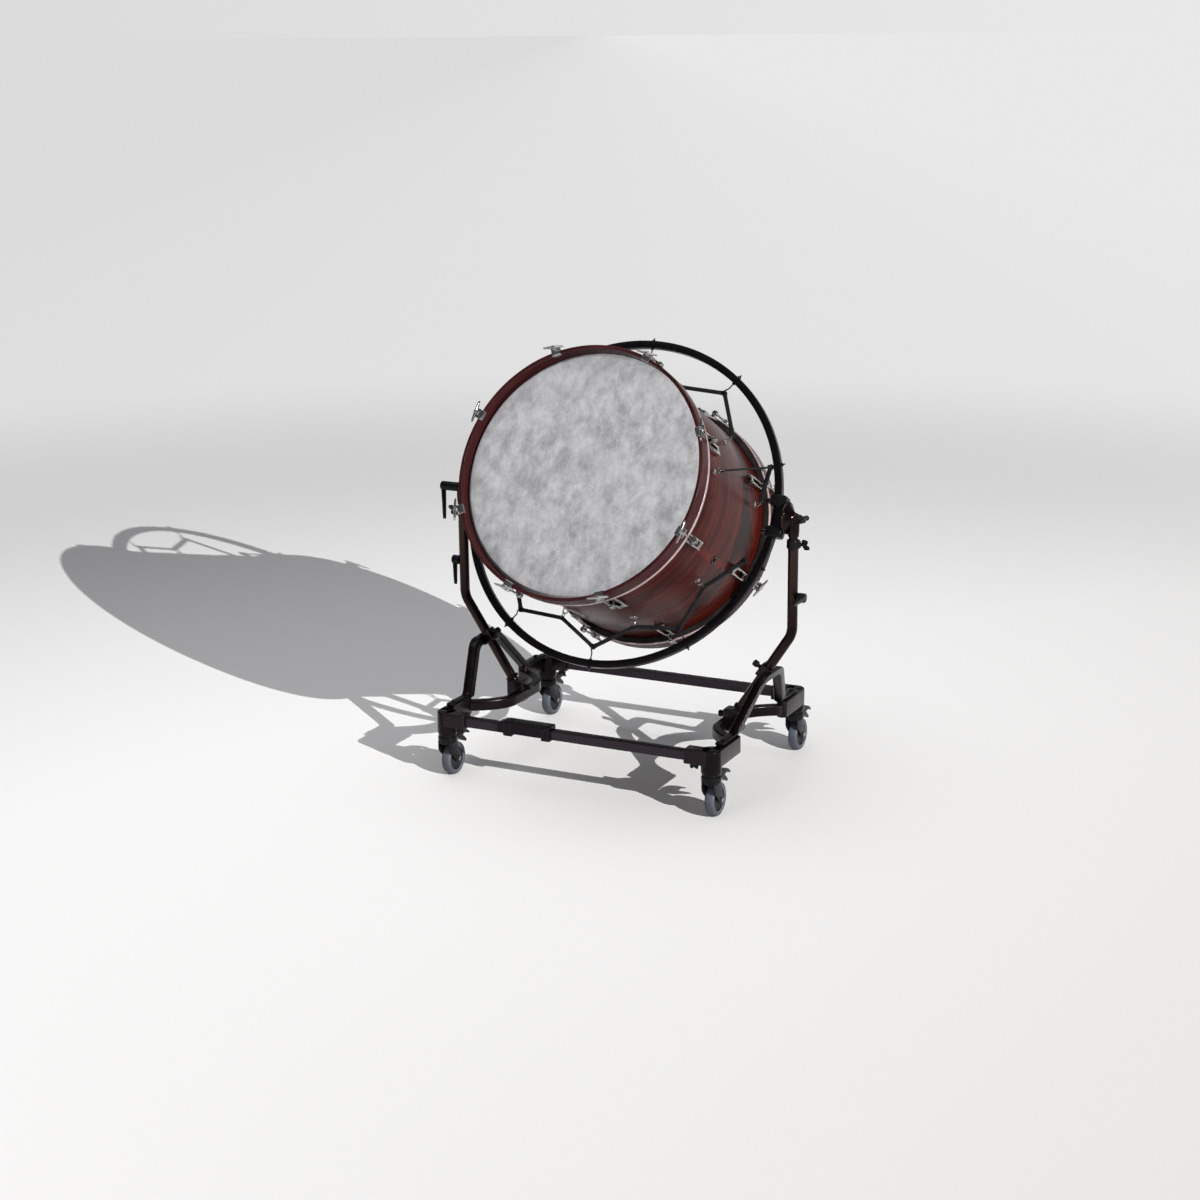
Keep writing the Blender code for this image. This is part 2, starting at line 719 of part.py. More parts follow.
def make_tension_rods():
    """T-handled rods that run through a claw into a lug."""
    base = CLAW_FACE + GAP
    top = base + HUB_LENGTH
    end = LUG_HOOP_END - ROD_IN_LUG
    spindle = turned([(0, top), (HUB_RADIUS, top), (HUB_RADIUS, base), (ROD_RADIUS, base),
                      (ROD_RADIUS, end), (0, end)], ROD_SIDES)
    half = HANDLE_SPAN / 2
    root = HANDLE_ROOT / 2
    tip = HANDLE_TIP / 2
    middle = base + HUB_LENGTH * 0.6
    wings = plate([[(middle - root, 0), (middle - tip, half), (middle + tip, half),
                    (middle + root, 0), (middle + tip, -half), (middle - tip, -half)]],
                  HANDLE_THICKNESS, "Y")
    handle = fuse(spindle, wings)
    step = 360.0 / TENSION_COUNT
    for name, end_sign in (("front", 1), ("rear", -1)):
        for index in range(TENSION_COUNT):
            turn = math.radians(HANDLE_TURN * (-1) ** index)
            place = fitting(TENSION_FIRST_ANGLE + step * index, ROD_CIRCLE, 0, end_sign)
            axis = make_empty(f"{name}_rod_axis_{index + 1}", (0, 0, 0), DRUM_CENTRE)
            axis.matrix_basis = place
            twin = copy_of(handle, Matrix.Rotation(turn, 4, "Z"))
            add_part(f"{name}_tension_rod_{index + 1}", twin, CHROME, axis)
    bpy.data.objects.remove(handle)


def eyelet_places():
    places = [fitting(angle, SHELL_RADIUS) for angle in MID_EYELET_ANGLES]
    for side in (-1, 1):
        for end in (-1, 1):
            places.append(fitting(side * SIDE_EYELET_ANGLE, SHELL_RADIUS, end * SIDE_EYELET_OFFSET))
    return places


def all_eyelets():
    width = EYELET_HALF_WIDTH
    base = rod((0, -ROOT, 0), (0, EYELET_BASE, 0), EYELET_BASE_RADIUS, 6)
    foot = EYELET_BASE / 2
    loop = wire([(-width, foot, 0), (-width * 0.7, EYELET_HEIGHT, 0),
                 (width * 0.7, EYELET_HEIGHT, 0), (width, foot, 0)], EYELET_WIRE, 0)
    shift = Matrix.Translation((0, 0, -DRUM_FORWARD))
    return repeated(fuse(base, loop), [shift @ place for place in eyelet_places()])


def link_loop(bar, along, across, wide):
    """A closed wire loop round an eyelet's bar; its far side is cast into a strap."""
    back = bar - along * LINK_NARROW
    front = bar + along * (LINK_LENGTH - LINK_NARROW)
    return wire([back - across * LINK_NARROW, back + across * LINK_NARROW,
                 front + across * wide, front - across * wide], LINK_WIRE, 0, cyclic=True)


def side_strap_frame(side, end):
    """A side strap's hook end, eyelet bar and the directions along and across it."""
    hook = around(side * SIDE_HOOK_ANGLE, SIDE_STRAP_HOOK_RADIUS)
    bar = around(side * SIDE_EYELET_ANGLE, SHELL_RADIUS + EYELET_HEIGHT, end * SIDE_EYELET_OFFSET)
    along = (hook - bar).normalized()
    normal = along.cross(around(side * SIDE_HOOK_ANGLE, 1.0)).normalized()
    return hook, bar, along, normal.cross(along).normalized()


def strap_outline(length, start_eye, end_eye):
    """A band drawn along its length, with a thicker eye where one is asked for."""
    half = STRAP_THICKNESS / 2
    eye = STRAP_EYE_RADIUS
    diagonal = eye * math.sqrt(0.5)
    outline = []
    for centre, way, has_eye in ((length, 1, end_eye), (0, -1, start_eye)):
        if has_eye:
            outline += [(centre - way * diagonal, way * half), (centre, way * eye), (centre + way * eye, 0),
                        (centre, -way * eye), (centre - way * diagonal, -way * half)]
        else:
            outline += [(centre + way * half, way * half), (centre + way * half, -way * half)]
    return outline


def strap_between(start, end, across, start_eye=False, end_eye=False):
    along = (end - start).normalized()
    normal = across.cross(along).normalized()
    band = plate([strap_outline((end - start).length, start_eye, end_eye)], STRAP_WIDTH)
    place = Matrix.Identity(4)
    for row in range(3):
        place[row][0] = along[row]
        place[row][1] = normal[row]
        place[row][2] = across[row]
        place[row][3] = start[row]
    return moved(band, place)


def make_strap_chain(name, chain):
    """Straps that run between ring hooks and shell eyelets, joined where they meet."""
    axial = Vector((0, 0, 1))
    wide = STRAP_WIDTH / 2 + LINK_WIRE
    pieces = []
    bores = []
    for first, second in zip(chain, chain[1:]):
        to_eyelet = second % 360 in MID_EYELET_ANGLES
        start = around(first, HOOK_REACH if to_eyelet else LINK_BAR)
        end = around(second, LINK_BAR if to_eyelet else HOOK_REACH)
        pieces.append(strap_between(start, end, axial, start_eye=to_eyelet, end_eye=not to_eyelet))
    for angle in chain:
        if angle % 360 in MID_EYELET_ANGLES:
            bar = around(angle, SHELL_RADIUS + EYELET_HEIGHT)
            pieces.append(link_loop(bar, around(angle, 1.0), axial, wide))
        else:
            bore = rod((0, HOOK_REACH, -STRAP_WIDTH), (0, HOOK_REACH, STRAP_WIDTH), STRAP_EYE_HOLE, 4)
            bores.append(moved(bore, fitting(angle, 0)))
    add_part(name, cut(fuse(*pieces), *bores), BLACK_RUBBER, RING_PLANE)


def make_side_strap(name, side):
    """Two straps from one ring hook to the eyelets at the shell's two ends."""
    outside = rod((0, SIDE_STRAP_HOOK_RADIUS - STRAP_WIDTH / 2, 0),
                  (0, SIDE_STRAP_HOOK_RADIUS + STRAP_WIDTH / 2, 0), SIDE_STRAP_EYE_RADIUS, 8)
    inside = rod((0, SIDE_STRAP_HOOK_RADIUS - STRAP_WIDTH, 0),
                 (0, SIDE_STRAP_HOOK_RADIUS + STRAP_WIDTH, 0), SIDE_STRAP_EYE_HOLE, 6)
    place = fitting(side * SIDE_HOOK_ANGLE, 0)
    strap = moved(outside, place)
    pieces = []
    for end in (-1, 1):
        hook, bar, along, across = side_strap_frame(side, end)
        start = bar + along * (LINK_LENGTH - LINK_NARROW)
        pieces.append(strap_between(start, hook - along * STRAP_THICKNESS, across))
        pieces.append(link_loop(bar, along, across, STRAP_WIDTH / 2 + LINK_WIRE))
    add_part(name, cut(fuse(strap, *pieces), moved(inside, place)), BLACK_RUBBER, RING_PLANE)


def make_straps():
    make_strap_chain("upper_straps", UPPER_CHAIN)
    make_strap_chain("lower_straps", LOWER_CHAIN)
    for name, side in SIDES:
        make_side_strap("side_strap_" + name, side)


def hook_places():
    return [fitting(360.0 / HOOK_COUNT * index, 0) for index in range(HOOK_COUNT)]


def make_ring():
    """The ring with the strap hooks that are bolted through it."""
    half = RING_SECTION / 2
    inner = RING_RADIUS - half
    outer = RING_RADIUS + half
    ring = turned([(outer, half), (outer, -half), (inner, -half), (inner, half)],
                  RING_SIDES, hollow=True)
    nut = rod((0, outer - ROOT, 0), (0, outer + HOOK_NUT, 0), HOOK_NUT_RADIUS, 6)
    neck = (HOOK_NECK + HOOK_REACH) / 2
    hook = wire([(0, inner + ROOT, 0), (0, HOOK_NECK, 0), (0, neck, HOOK_BAR_HALF),
                 (0, HOOK_REACH, HOOK_BAR_HALF), (0, HOOK_REACH, -HOOK_BAR_HALF)], HOOK_WIRE, 0)
    hooks = repeated(gather([nut, hook]), hook_places())
    add_part("tilt_ring", fuse(ring, hooks), FRAME_PAINT, RING_PLANE)


def make_trunnions():
    """Blocks clamped on the ring, with their bolts and the shaft that the drum tilts on."""
    half = RING_SECTION / 2 + GAP
    deep = BLOCK_HALF_DEPTH
    window = BLOCK_HALF_LENGTH - BLOCK_PAD
    place = BLOCK_HALF_LENGTH - BLOCK_PAD / 2
    for name, side in SIDES:
        block = box((BLOCK_INNER, -BLOCK_HALF_LENGTH, -deep), (BLOCK_OUTER, BLOCK_HALF_LENGTH, deep))
        bolts = [rod((BLOCK_INNER + ROOT, end * place, 0),
                     (BLOCK_INNER - BLOCK_BOLT_LENGTH, end * place, 0),
                     BLOCK_BOLT_RADIUS, BLOCK_BOLT_SIDES) for end in (-1, 1)]
        shaft = rod((BLOCK_OUTER - ROOT, 0, 0), (SHAFT_END, 0, 0), SHAFT_RADIUS, SHAFT_SIDES)
        channel = turned([(RING_RADIUS + half, half), (RING_RADIUS + half, -half),
                          (RING_RADIUS - half, -half), (RING_RADIUS - half, half)],
                         RING_SIDES, hollow=True)
        opening = box((BLOCK_INNER - deep, -window, -2 * deep), (RING_RADIUS, window, 2 * deep))
        block = cut(fuse(block, shaft, *bolts), channel, opening)
        add_part("trunnion_block_" + name, moved(block, Matrix.Diagonal((side, 1, 1, 1))),
                 BLACK_METAL, RING_PLANE)


def make_pivot_housings():
    bore = clear_radius(SHAFT_RADIUS, HOUSING_SIDES, TURN_GAP)
    floor = SHAFT_END + GAP
    rim_back = HOUSING_RIM_X + HOUSING_RIM
    profile = [(0, HOUSING_END_X), (HOUSING_NECK_RADIUS, HOUSING_END_X),
               (HOUSING_CONE_RADIUS, HOUSING_CONE_X), (HOUSING_RIM_RADIUS, rim_back),
               (HOUSING_RIM_RADIUS, HOUSING_RIM_X), (bore, HOUSING_RIM_X), (bore, floor), (0, floor)]
    socket = clear_radius(UPPER_POST_RADIUS, POST_SIDES)
    for name, side in SIDES:
        housing = turned(profile, HOUSING_SIDES, axis="X")
        post_bore = rod((POST_X, 0, -2 * HOUSING_RIM_RADIUS), (POST_X, 0, GAP - POST_TOP_DROP),
                        socket, POST_SIDES)
        housing = cut(housing, post_bore)
        add_part("pivot_housing_" + name, moved(housing, Matrix.Diagonal((side, 1, 1, 1))),
                 CASTING_PAINT, UPRIGHTS)


def make_upper_posts():
    top = -POST_TOP_DROP
    bottom = UPPER_POST_BOTTOM - TRUNNION_HEIGHT
    inner = UPPER_POST_RADIUS - UPPER_POST_WALL
    for name, side in SIDES:
        post = turned([(UPPER_POST_RADIUS, top), (UPPER_POST_RADIUS, bottom), (inner, bottom),
                       (inner, top)], POST_SIDES, hollow=True)
        moved(post, Matrix.Translation((side * POST_X, 0, 0)))
        add_part("upper_post_" + name, post, POST_PAINT, UPRIGHTS)


def make_memory_collars():
    """Collars on the upper posts, each with its wing screw."""
    bottom = LOWER_POST_TOP + GAP - TRUNNION_HEIGHT
    top = bottom + COLLAR_HEIGHT
    inner = clear_radius(UPPER_POST_RADIUS, COLLAR_SIDES)
    for name, side in SIDES:
        collar = turned([(COLLAR_RADIUS, top), (COLLAR_RADIUS, bottom), (inner, bottom), (inner, top)],
                        COLLAR_SIDES, hollow=True)
        collar = moved(collar, Matrix.Translation((POST_X, 0, 0)))
        place = (Matrix.Translation((POST_X + COLLAR_RADIUS, 0, (bottom + top) / 2))
                 @ Matrix.Rotation(math.radians(90) - WING_TURN, 4, "X"))
        collar = fuse(collar, moved(wing_screw(), place))
        add_part("memory_collar_" + name, moved(collar, Matrix.Diagonal((side, 1, 1, 1))),
                 BLACK_METAL, UPRIGHTS)


def wing_screw():
    """A butterfly screw along +X; its wings lie in the XY plane."""
    half = WING_SPAN / 2
    start = WING_STEM
    end = WING_STEM + WING_DEPTH
    waist = WING_STEM_RADIUS
    middle = (start + end) / 2
    stem = rod((-ROOT, 0, 0), (middle, 0, 0), WING_STEM_RADIUS, ROD_SIDES)
    wings = plate([[(start, -waist), (start + waist, -half), (end, -half * 0.85), (end, -half * 0.4),
                    (middle, 0), (end, half * 0.4), (end, half * 0.85), (start + waist, half),
                    (start, waist)]], WING_THICKNESS)
    return fuse(stem, wings)


def lever(start_x, reach, length):
    """A lever that hangs from a hub on the X axis."""
    hub = rod((start_x, 0, 0), (reach - LEVER_ARM_THICKNESS / 2, 0, 0), LEVER_HUB_RADIUS, LEVER_SIDES)
    root = LEVER_ARM_ROOT / 2
    tip = LEVER_ARM_TIP / 2
    arm = plate([[(-root / 2, root), (root / 2, root), (root, 0), (tip, tip - length),
                  (tip / 2, -length), (-tip / 2, -length), (-tip, tip - length), (-root, 0)]],
                LEVER_ARM_THICKNESS, "X", reach - LEVER_ARM_THICKNESS / 2)
    return fuse(hub, arm)


def make_tilt_controls():
    handle = lever(HOUSING_END_X + GAP, LEVER_REACH, TILT_LEVER_LENGTH)
    add_part("tilt_lever", moved(handle, Matrix.Diagonal((-1, 1, 1, 1))), BLACK_METAL, TILT_LEVER_AXIS)
    start = HOUSING_END_X + GAP
    end = KNOB_BAR_X + KNOB_BAR_RADIUS
    body = turned([(0, end), (KNOB_STEP_RADIUS, end), (KNOB_STEP_RADIUS, KNOB_STEP_X),
                   (KNOB_BASE_RADIUS, KNOB_STEP_X), (KNOB_BASE_RADIUS, start), (0, start)],
                  LEVER_SIDES, axis="X")
    bar = rod((KNOB_BAR_X, -KNOB_BAR_HALF, 0), (KNOB_BAR_X, KNOB_BAR_HALF, 0), KNOB_BAR_RADIUS, 8)
    ends = [ball((KNOB_BAR_X, side * KNOB_BAR_HALF, 0), KNOB_BALL_RADIUS, 8, 6) for side in (-1, 1)]
    add_part("tilt_knob", fuse(body, bar, *ends), BLACK_METAL, TILT_KNOB_AXIS)


def make_height_levers():
    for name, side in SIDES:
        handle = lever(HEIGHT_LEVER_START, HEIGHT_LEVER_REACH, HEIGHT_LEVER_LENGTH)
        if side > 0:
            moved(handle, Matrix.Rotation(math.radians(-90), 4, "X"))
        moved(handle, Matrix.Diagonal((side, 1, 1, 1)))
        add_part("height_lever_" + name, handle, BLACK_METAL, HEIGHT_LEVER_AXES[name])


def slanted_x(z):
    """|X| of the lower post's slanted centre line at a height."""
    return POST_X - (LOWER_POST_BEND - z) * math.tan(LOWER_POST_SLANT)


def lower_post_route():
    """Centre line from the top, through the bend, to the foot clamp."""
    slant = LOWER_POST_SLANT
    radius = LOWER_POST_BEND_RADIUS
    tangent = radius * math.tan(slant / 2)
    centre_x = POST_X - radius
    centre_z = LOWER_POST_BEND + tangent
    steps = 4
    points = [(POST_X, 0, LOWER_POST_TOP)]
    for index in range(steps + 1):
        turn = slant * index / steps
        points.append((centre_x + radius * math.cos(turn), 0, centre_z - radius * math.sin(turn)))
    points.append((slanted_x(LOWER_POST_END), 0, LOWER_POST_END))
    return points


def make_lower_posts():
    for name, side in SIDES:
        post = wire(lower_post_route(), LOWER_POST_RADIUS, (POST_SIDES - 4) // 2)
        bore = rod((POST_X, 0, BORE_FLOOR), (POST_X, 0, 2 * LOWER_POST_TOP),
                   clear_radius(UPPER_POST_RADIUS, POST_SIDES), POST_SIDES)
        post = cut(post, bore)
        add_part("lower_post_" + name, moved(post, Matrix.Diagonal((side, 1, 1, 1))), POST_PAINT, STAND)


def corner_casting():
    """One corner of the base: caster column, side arm and rail socket."""
    outer_x = COLUMN_X + COLUMN_RADIUS
    half_arm = RAIL_ARM_WIDTH / 2
    half_socket = RAIL_SIZE / 2 + GAP
    bore = clear_radius(STEM_RADIUS, STEM_SIDES, TURN_GAP)
    casting = rod((COLUMN_X, COLUMN_Y, COLUMN_BOTTOM), (COLUMN_X, COLUMN_Y, FRAME_TOP),
                  COLUMN_RADIUS, COLUMN_SIDES)
    inner_x = outer_x - SIDE_ARM_WIDTH
    chamfer = SIDE_ARM_END + ARM_CHAMFER
    side_arm = plate([[(inner_x, chamfer), (inner_x + ARM_CHAMFER, SIDE_ARM_END),
                       (outer_x - ARM_CHAMFER, SIDE_ARM_END), (outer_x, chamfer),
                       (outer_x, COLUMN_Y), (inner_x, COLUMN_Y)]],
                     FRAME_TOP - SIDE_ARM_BOTTOM, "Z", (FRAME_TOP + SIDE_ARM_BOTTOM) / 2)
    rail_arm = box((RAIL_ARM_END, RAIL_Y - half_arm, RAIL_ARM_BOTTOM),
                   (COLUMN_X, RAIL_Y + half_arm, FRAME_TOP))
    socket = box((RAIL_ARM_END - GAP, RAIL_Y - half_socket, RAIL_Z - half_socket),
                 (RAIL_END + GAP, RAIL_Y + half_socket, RAIL_Z + half_socket))
    stem_bore = rod((COLUMN_X, COLUMN_Y, 0), (COLUMN_X, COLUMN_Y, STEM_BORE_TOP), bore, STEM_SIDES)
    screw_place = Matrix.Translation((RAIL_ARM_END + RAIL_SCREW_INSET, RAIL_Y, RAIL_ARM_BOTTOM))
    screw_turn = Matrix.Rotation(math.radians(90), 4, "Y") @ Matrix.Rotation(math.radians(90), 4, "X")
    screw_size = Matrix.Diagonal((RAIL_SCREW_SCALE, RAIL_SCREW_SCALE, RAIL_SCREW_SCALE, 1))
    screw = moved(wing_screw(), screw_place @ screw_turn @ screw_size)
    return cut(fuse(casting, side_arm, rail_arm, screw), socket, stem_bore)


def make_side_frames():
    """Front and rear corners with the bow between them and the post's foot clamp."""
    casting = corner_casting()
    bow = plate([bow_outline()], BOW_HEIGHT, "Z", BOW_BOTTOM + BOW_HEIGHT / 2)
    wide = FOOT_CLAMP_WIDTH / 2
    clamp = box((FOOT_CLAMP_INNER, -wide, FOOT_CLAMP_BOTTOM), (FOOT_CLAMP_OUTER, wide, FOOT_CLAMP_TOP))
    knob = rod((FOOT_CLAMP_INNER + ROOT, 0, FOOT_KNOB_Z),
               (FOOT_CLAMP_INNER - FOOT_KNOB_LENGTH, 0, FOOT_KNOB_Z),
               CLAMP_KNOB_RADIUS, CLAMP_KNOB_SIDES)
    frame = fuse(mirrored(casting, 1, -1), casting, bow, clamp, knob)
    frame = cut(frame, post_bore())
    for name, side in SIDES:
        add_part("side_frame_" + name, mirrored(frame, side), CASTING_PAINT, STAND)
    bpy.data.objects.remove(frame)


def post_bore():
    """The slanted post's place, with a gap round it and under its end."""
    low = LOWER_POST_END - GAP
    return rod((slanted_x(low), 0, low), (POST_X, 0, LOWER_POST_BEND),
               clear_radius(LOWER_POST_RADIUS, POST_SIDES), POST_SIDES)


def make_rails():
    half = RAIL_SIZE / 2
    bore = half - RAIL_WALL
    for name, y_side in (("front_rail", -1), ("back_rail", 1)):
        y = y_side * RAIL_Y
        outline = [(y - half, RAIL_Z - half), (y + half, RAIL_Z - half),
                   (y + half, RAIL_Z + half), (y - half, RAIL_Z + half)]
        inside = [(y - bore, RAIL_Z - bore), (y + bore, RAIL_Z - bore),
                  (y + bore, RAIL_Z + bore), (y - bore, RAIL_Z + bore)]
        add_part(name, plate([outline, inside], 2 * RAIL_END, "X"), FRAME_PAINT, STAND)


def make_rail_cover():
    y = -RAIL_Y
    half = RAIL_SIZE / 2 + GAP
    outer = half + COVER_WALL
    cover = box((COVER_LEFT, y - outer, COVER_BOTTOM), (COVER_RIGHT, y + outer, COVER_TOP))
    ramp = plate([[(COVER_RAMP_LOW, COVER_LEFT - GAP), (COVER_TOP + GAP, COVER_LEFT - GAP),
                   (COVER_TOP + GAP, COVER_LEFT + COVER_RAMP)]], 4 * outer, "Y", y)
    cover = cut(cover, ramp)
    for place in SADDLE_PLACES:
        saddle = box((place - SADDLE_LENGTH / 2, y - outer, SADDLE_BOTTOM),
                     (place + SADDLE_LENGTH / 2, y + outer, RAIL_Z))
        cover = fuse(cover, saddle)
    channel = box((COVER_LEFT - COVER_RAMP, y - half, RAIL_Z - half),
                  (COVER_RIGHT + COVER_RAMP, y + half, RAIL_Z + half))
    below = box((COVER_LEFT - COVER_RAMP, y - half, RAIL_Z - half),
                (COVER_RIGHT + COVER_RAMP, y + half, RAIL_Z))
    add_part("rail_cover", cut(cover, channel, below), FRAME_PAINT, STAND)


def arch_outline():
    """The arch seen from its side: toes, slanted legs and a flat top."""
    base = FRAME_TOP + GAP
    toe = base + ARCH_TOE_HEIGHT
    cut_back = ARCH_ROUNDING * ARCH_SPREAD
    right = [(leg_y(base) - ARCH_LEG, base), (ARCH_TOE, base), (ARCH_TOE, toe), (leg_y(toe), toe),
             (leg_y(ARCH_TOP - ARCH_ROUNDING), ARCH_TOP - ARCH_ROUNDING),
             (leg_y(ARCH_TOP) - cut_back, ARCH_TOP)]
    left = [(-y, z) for y, z in reversed(right)]
    shoulder = ARCH_CROWN - ARCH_ROUNDING
    inside = [(leg_y(shoulder) - ARCH_LEG, shoulder),
              (leg_y(ARCH_CROWN) - ARCH_LEG - cut_back, ARCH_CROWN)]
    return right + left + [(-y, z) for y, z in inside] + inside[::-1]


def leg_y(z):
    """|Y| of an arch leg's outer side at a height."""
    return ARCH_FOOT - ARCH_SPREAD * (z - FRAME_TOP - ARCH_TOE_HEIGHT)


def arch_shear():
    """Lean the arch outwards as it rises from the frame's top."""
    lean = math.tan(ARCH_LEAN)
    shear = Matrix.Identity(4)
    shear[0][2] = lean
    shear[0][3] = -lean * FRAME_TOP
    return shear


def clamp_frame():
    """X is square to the slanted post, outward; Z runs up the post."""
    place = Matrix.Translation((slanted_x(APEX_CLAMP_Z), 0, APEX_CLAMP_Z))
    return place @ Matrix.Rotation(LOWER_POST_SLANT, 4, "Y")


def make_arches():
    """Each arch with the clamp and knob that hold the slanted post at its top."""
    half = APEX_CLAMP_SIZE / 2
    arch = plate([arch_outline()], ARCH_THICKNESS, "X", ARCH_X)
    moved(arch, arch_shear())
    clamp = moved(box((-half, -half, -half), (half, half, half)), clamp_frame())
    knob = rod((ROOT - half, 0, 0), (-half - APEX_KNOB_LENGTH, 0, 0), CLAMP_KNOB_RADIUS, CLAMP_KNOB_SIDES)
    arch = cut(fuse(arch, clamp, moved(knob, clamp_frame())), post_bore())
    for name, side in SIDES:
        add_part("arch_" + name, mirrored(arch, side), CASTING_PAINT, STAND)
    bpy.data.objects.remove(arch)


def offset_outline(points, width):
    """A closed outline round a centre line, with mitred corners."""
    line = [Vector(point) for point in points]
    sides = ([], [])
    for index, point in enumerate(line):
        ways = []
        if index > 0:
            ways.append((point - line[index - 1]).normalized())
        if index < len(line) - 1:
            ways.append((line[index + 1] - point).normalized())
        way = sum(ways, Vector((0, 0))).normalized()
        normal = Vector((-way.y, way.x))
        stretch = width / 2 / way.dot(ways[0])
        sides[0].append(point + normal * stretch)
        sides[1].append(point - normal * stretch)
    return [tuple(point) for point in sides[0] + sides[1][::-1]]


def bow_outline():
    """The bow from above: straight in the middle, then swept out to the side arms."""
    end_x = COLUMN_X + COLUMN_RADIUS - SIDE_ARM_WIDTH / 2
    end_y = SIDE_ARM_END + ARM_CHAMFER
    upper = []
    for index in range(BOW_STEPS + 1):
        along = index / BOW_STEPS
        upper.append((BOW_MIDDLE_X + (end_x - BOW_MIDDLE_X) * along ** 2,
                      BOW_MIDDLE_HALF + (end_y - BOW_MIDDLE_HALF) * along))
    lower = [(x, -y) for x, y in reversed(upper)]
    return offset_outline(lower + upper, BOW_THICKNESS)


def fork_arm_outline():
    y = WHEEL_TRAIL
    z = WHEEL_RADIUS
    boss = 0.011
    edge = FORK_RADIUS * 0.85
    return [(-edge, FORK_BOTTOM + boss), (-edge, FORK_BOTTOM - 0.020), (y - boss, z - boss * 0.4),
            (y - boss * 0.4, z - boss), (y + boss * 0.4, z - boss), (y + boss, z - boss * 0.4),
            (y + boss, z + boss * 0.6), (edge, FORK_BOTTOM), (edge, FORK_BOTTOM + boss)]


def make_fork():
    top = COLUMN_BOTTOM - GAP
    fork = rod((0, 0, FORK_BOTTOM), (0, 0, top), FORK_RADIUS, COLUMN_SIDES)
    stem = rod((0, 0, top - FORK_ARM_THICKNESS), (0, 0, STEM_TOP), STEM_RADIUS, STEM_SIDES)
    inner = WHEEL_WIDTH / 2 + FORK_ARM_CLEARANCE
    middle = inner + FORK_ARM_THICKNESS / 2
    arms = [plate([fork_arm_outline()], FORK_ARM_THICKNESS, "X", side * middle) for side in (-1, 1)]
    reach = inner + FORK_ARM_THICKNESS + AXLE_HEAD
    axle = rod((-reach, WHEEL_TRAIL, WHEEL_RADIUS), (reach, WHEEL_TRAIL, WHEEL_RADIUS),
               AXLE_RADIUS, AXLE_SIDES)
    heads = [rod((side * (reach - AXLE_HEAD - GAP), WHEEL_TRAIL, WHEEL_RADIUS),
                 (side * reach, WHEEL_TRAIL, WHEEL_RADIUS), AXLE_HEAD_RADIUS, AXLE_SIDES)
             for side in (-1, 1)]
    return fuse(fork, stem, *arms, axle, *heads)


def make_wheel():
    """Tyre on its hub, turned about X; a flat of the tyre faces the floor."""
    outer = WHEEL_RADIUS / math.cos(math.pi / WHEEL_SIDES)
    inner = WHEEL_RADIUS - TYRE_DEPTH
    half = WHEEL_WIDTH / 2
    shoulder = half - TYRE_SHOULDER
    edge = outer - TYRE_SHOULDER / 2
    bore = clear_radius(AXLE_RADIUS, WHEEL_SIDES, TURN_GAP)
    hub = HUB_WIDTH / 2
    return turned([(edge, half), (outer, shoulder), (outer, -shoulder), (edge, -half), (inner, -half),
                   (inner, -hub), (bore, -hub), (bore, hub), (inner, hub), (inner, half)],
                  WHEEL_SIDES, axis="X", hollow=True, half_step=True)


def make_pedal():
    """A foot pedal behind the fork, drawn from its own pivot, with a tongue to lock and one to free."""
    outline = [(-0.0055, -0.0040), (-0.0055, 0.0080), (0.0230, 0.0100), (0.0530, 0.0030),
               (0.0710, -0.0100), (0.0680, -0.0155), (0.0500, -0.0070), (0.0300, -0.0085),
               (0.0520, -0.0280), (0.0490, -0.0355), (0.0240, -0.0215), (0.0080, -0.0130)]
    return plate([outline], PEDAL_WIDTH, "X")


def make_casters():
    fork = make_fork()
    wheel = make_wheel()
    pedal = make_pedal()
    for name, x_side, y_side in CORNERS:
        swivel = make_empty("caster_swivel_" + name, (x_side * COLUMN_X, y_side * COLUMN_Y, 0), STAND)
        axle = make_empty("wheel_axle_" + name, (0, WHEEL_TRAIL, WHEEL_RADIUS), swivel)
        pivot = make_empty("pedal_pivot_" + name, (0, PEDAL_PIVOT_Y, PEDAL_PIVOT_Z), swivel)
        add_part("caster_fork_" + name, copy_of(fork), BLACK_METAL, swivel)
        add_part("caster_wheel_" + name, copy_of(wheel), TYRE_RUBBER, axle)
        add_part("brake_pedal_" + name, copy_of(pedal), BLACK_METAL, pivot)
    for shape in (fork, wheel, pedal):
        bpy.data.objects.remove(shape)


clear_scene()
PARTS = make_collection("concert_bass_drum")
WORK = make_collection("cutters")

MAHOGANY = make_material("mahogany", (0.13, 0.022, 0.015), 0.35, 0.0)
HOOP_WOOD = make_material("hoop_wood", (0.09, 0.020, 0.018), 0.35, 0.0)
SKIN = make_material("mottled_skin", (0.56, 0.56, 0.58), 0.55, 0.0)
CHROME = make_material("chrome", (0.78, 0.78, 0.80), 0.10, 1.0)
FRAME_PAINT = make_material("frame_paint", (0.030, 0.026, 0.030), 0.30, 0.5)
CASTING_PAINT = make_material("casting_paint", (0.032, 0.028, 0.032), 0.32, 0.5)
POST_PAINT = make_material("post_paint", (0.035, 0.026, 0.024), 0.28, 0.5)
BLACK_METAL = make_material("black_metal", (0.015, 0.015, 0.017), 0.40, 0.3)
BLACK_RUBBER = make_material("black_rubber", (0.020, 0.020, 0.022), 0.75, 0.0)
TYRE_RUBBER = make_material("tyre_rubber", (0.080, 0.090, 0.110), 0.60, 0.0)

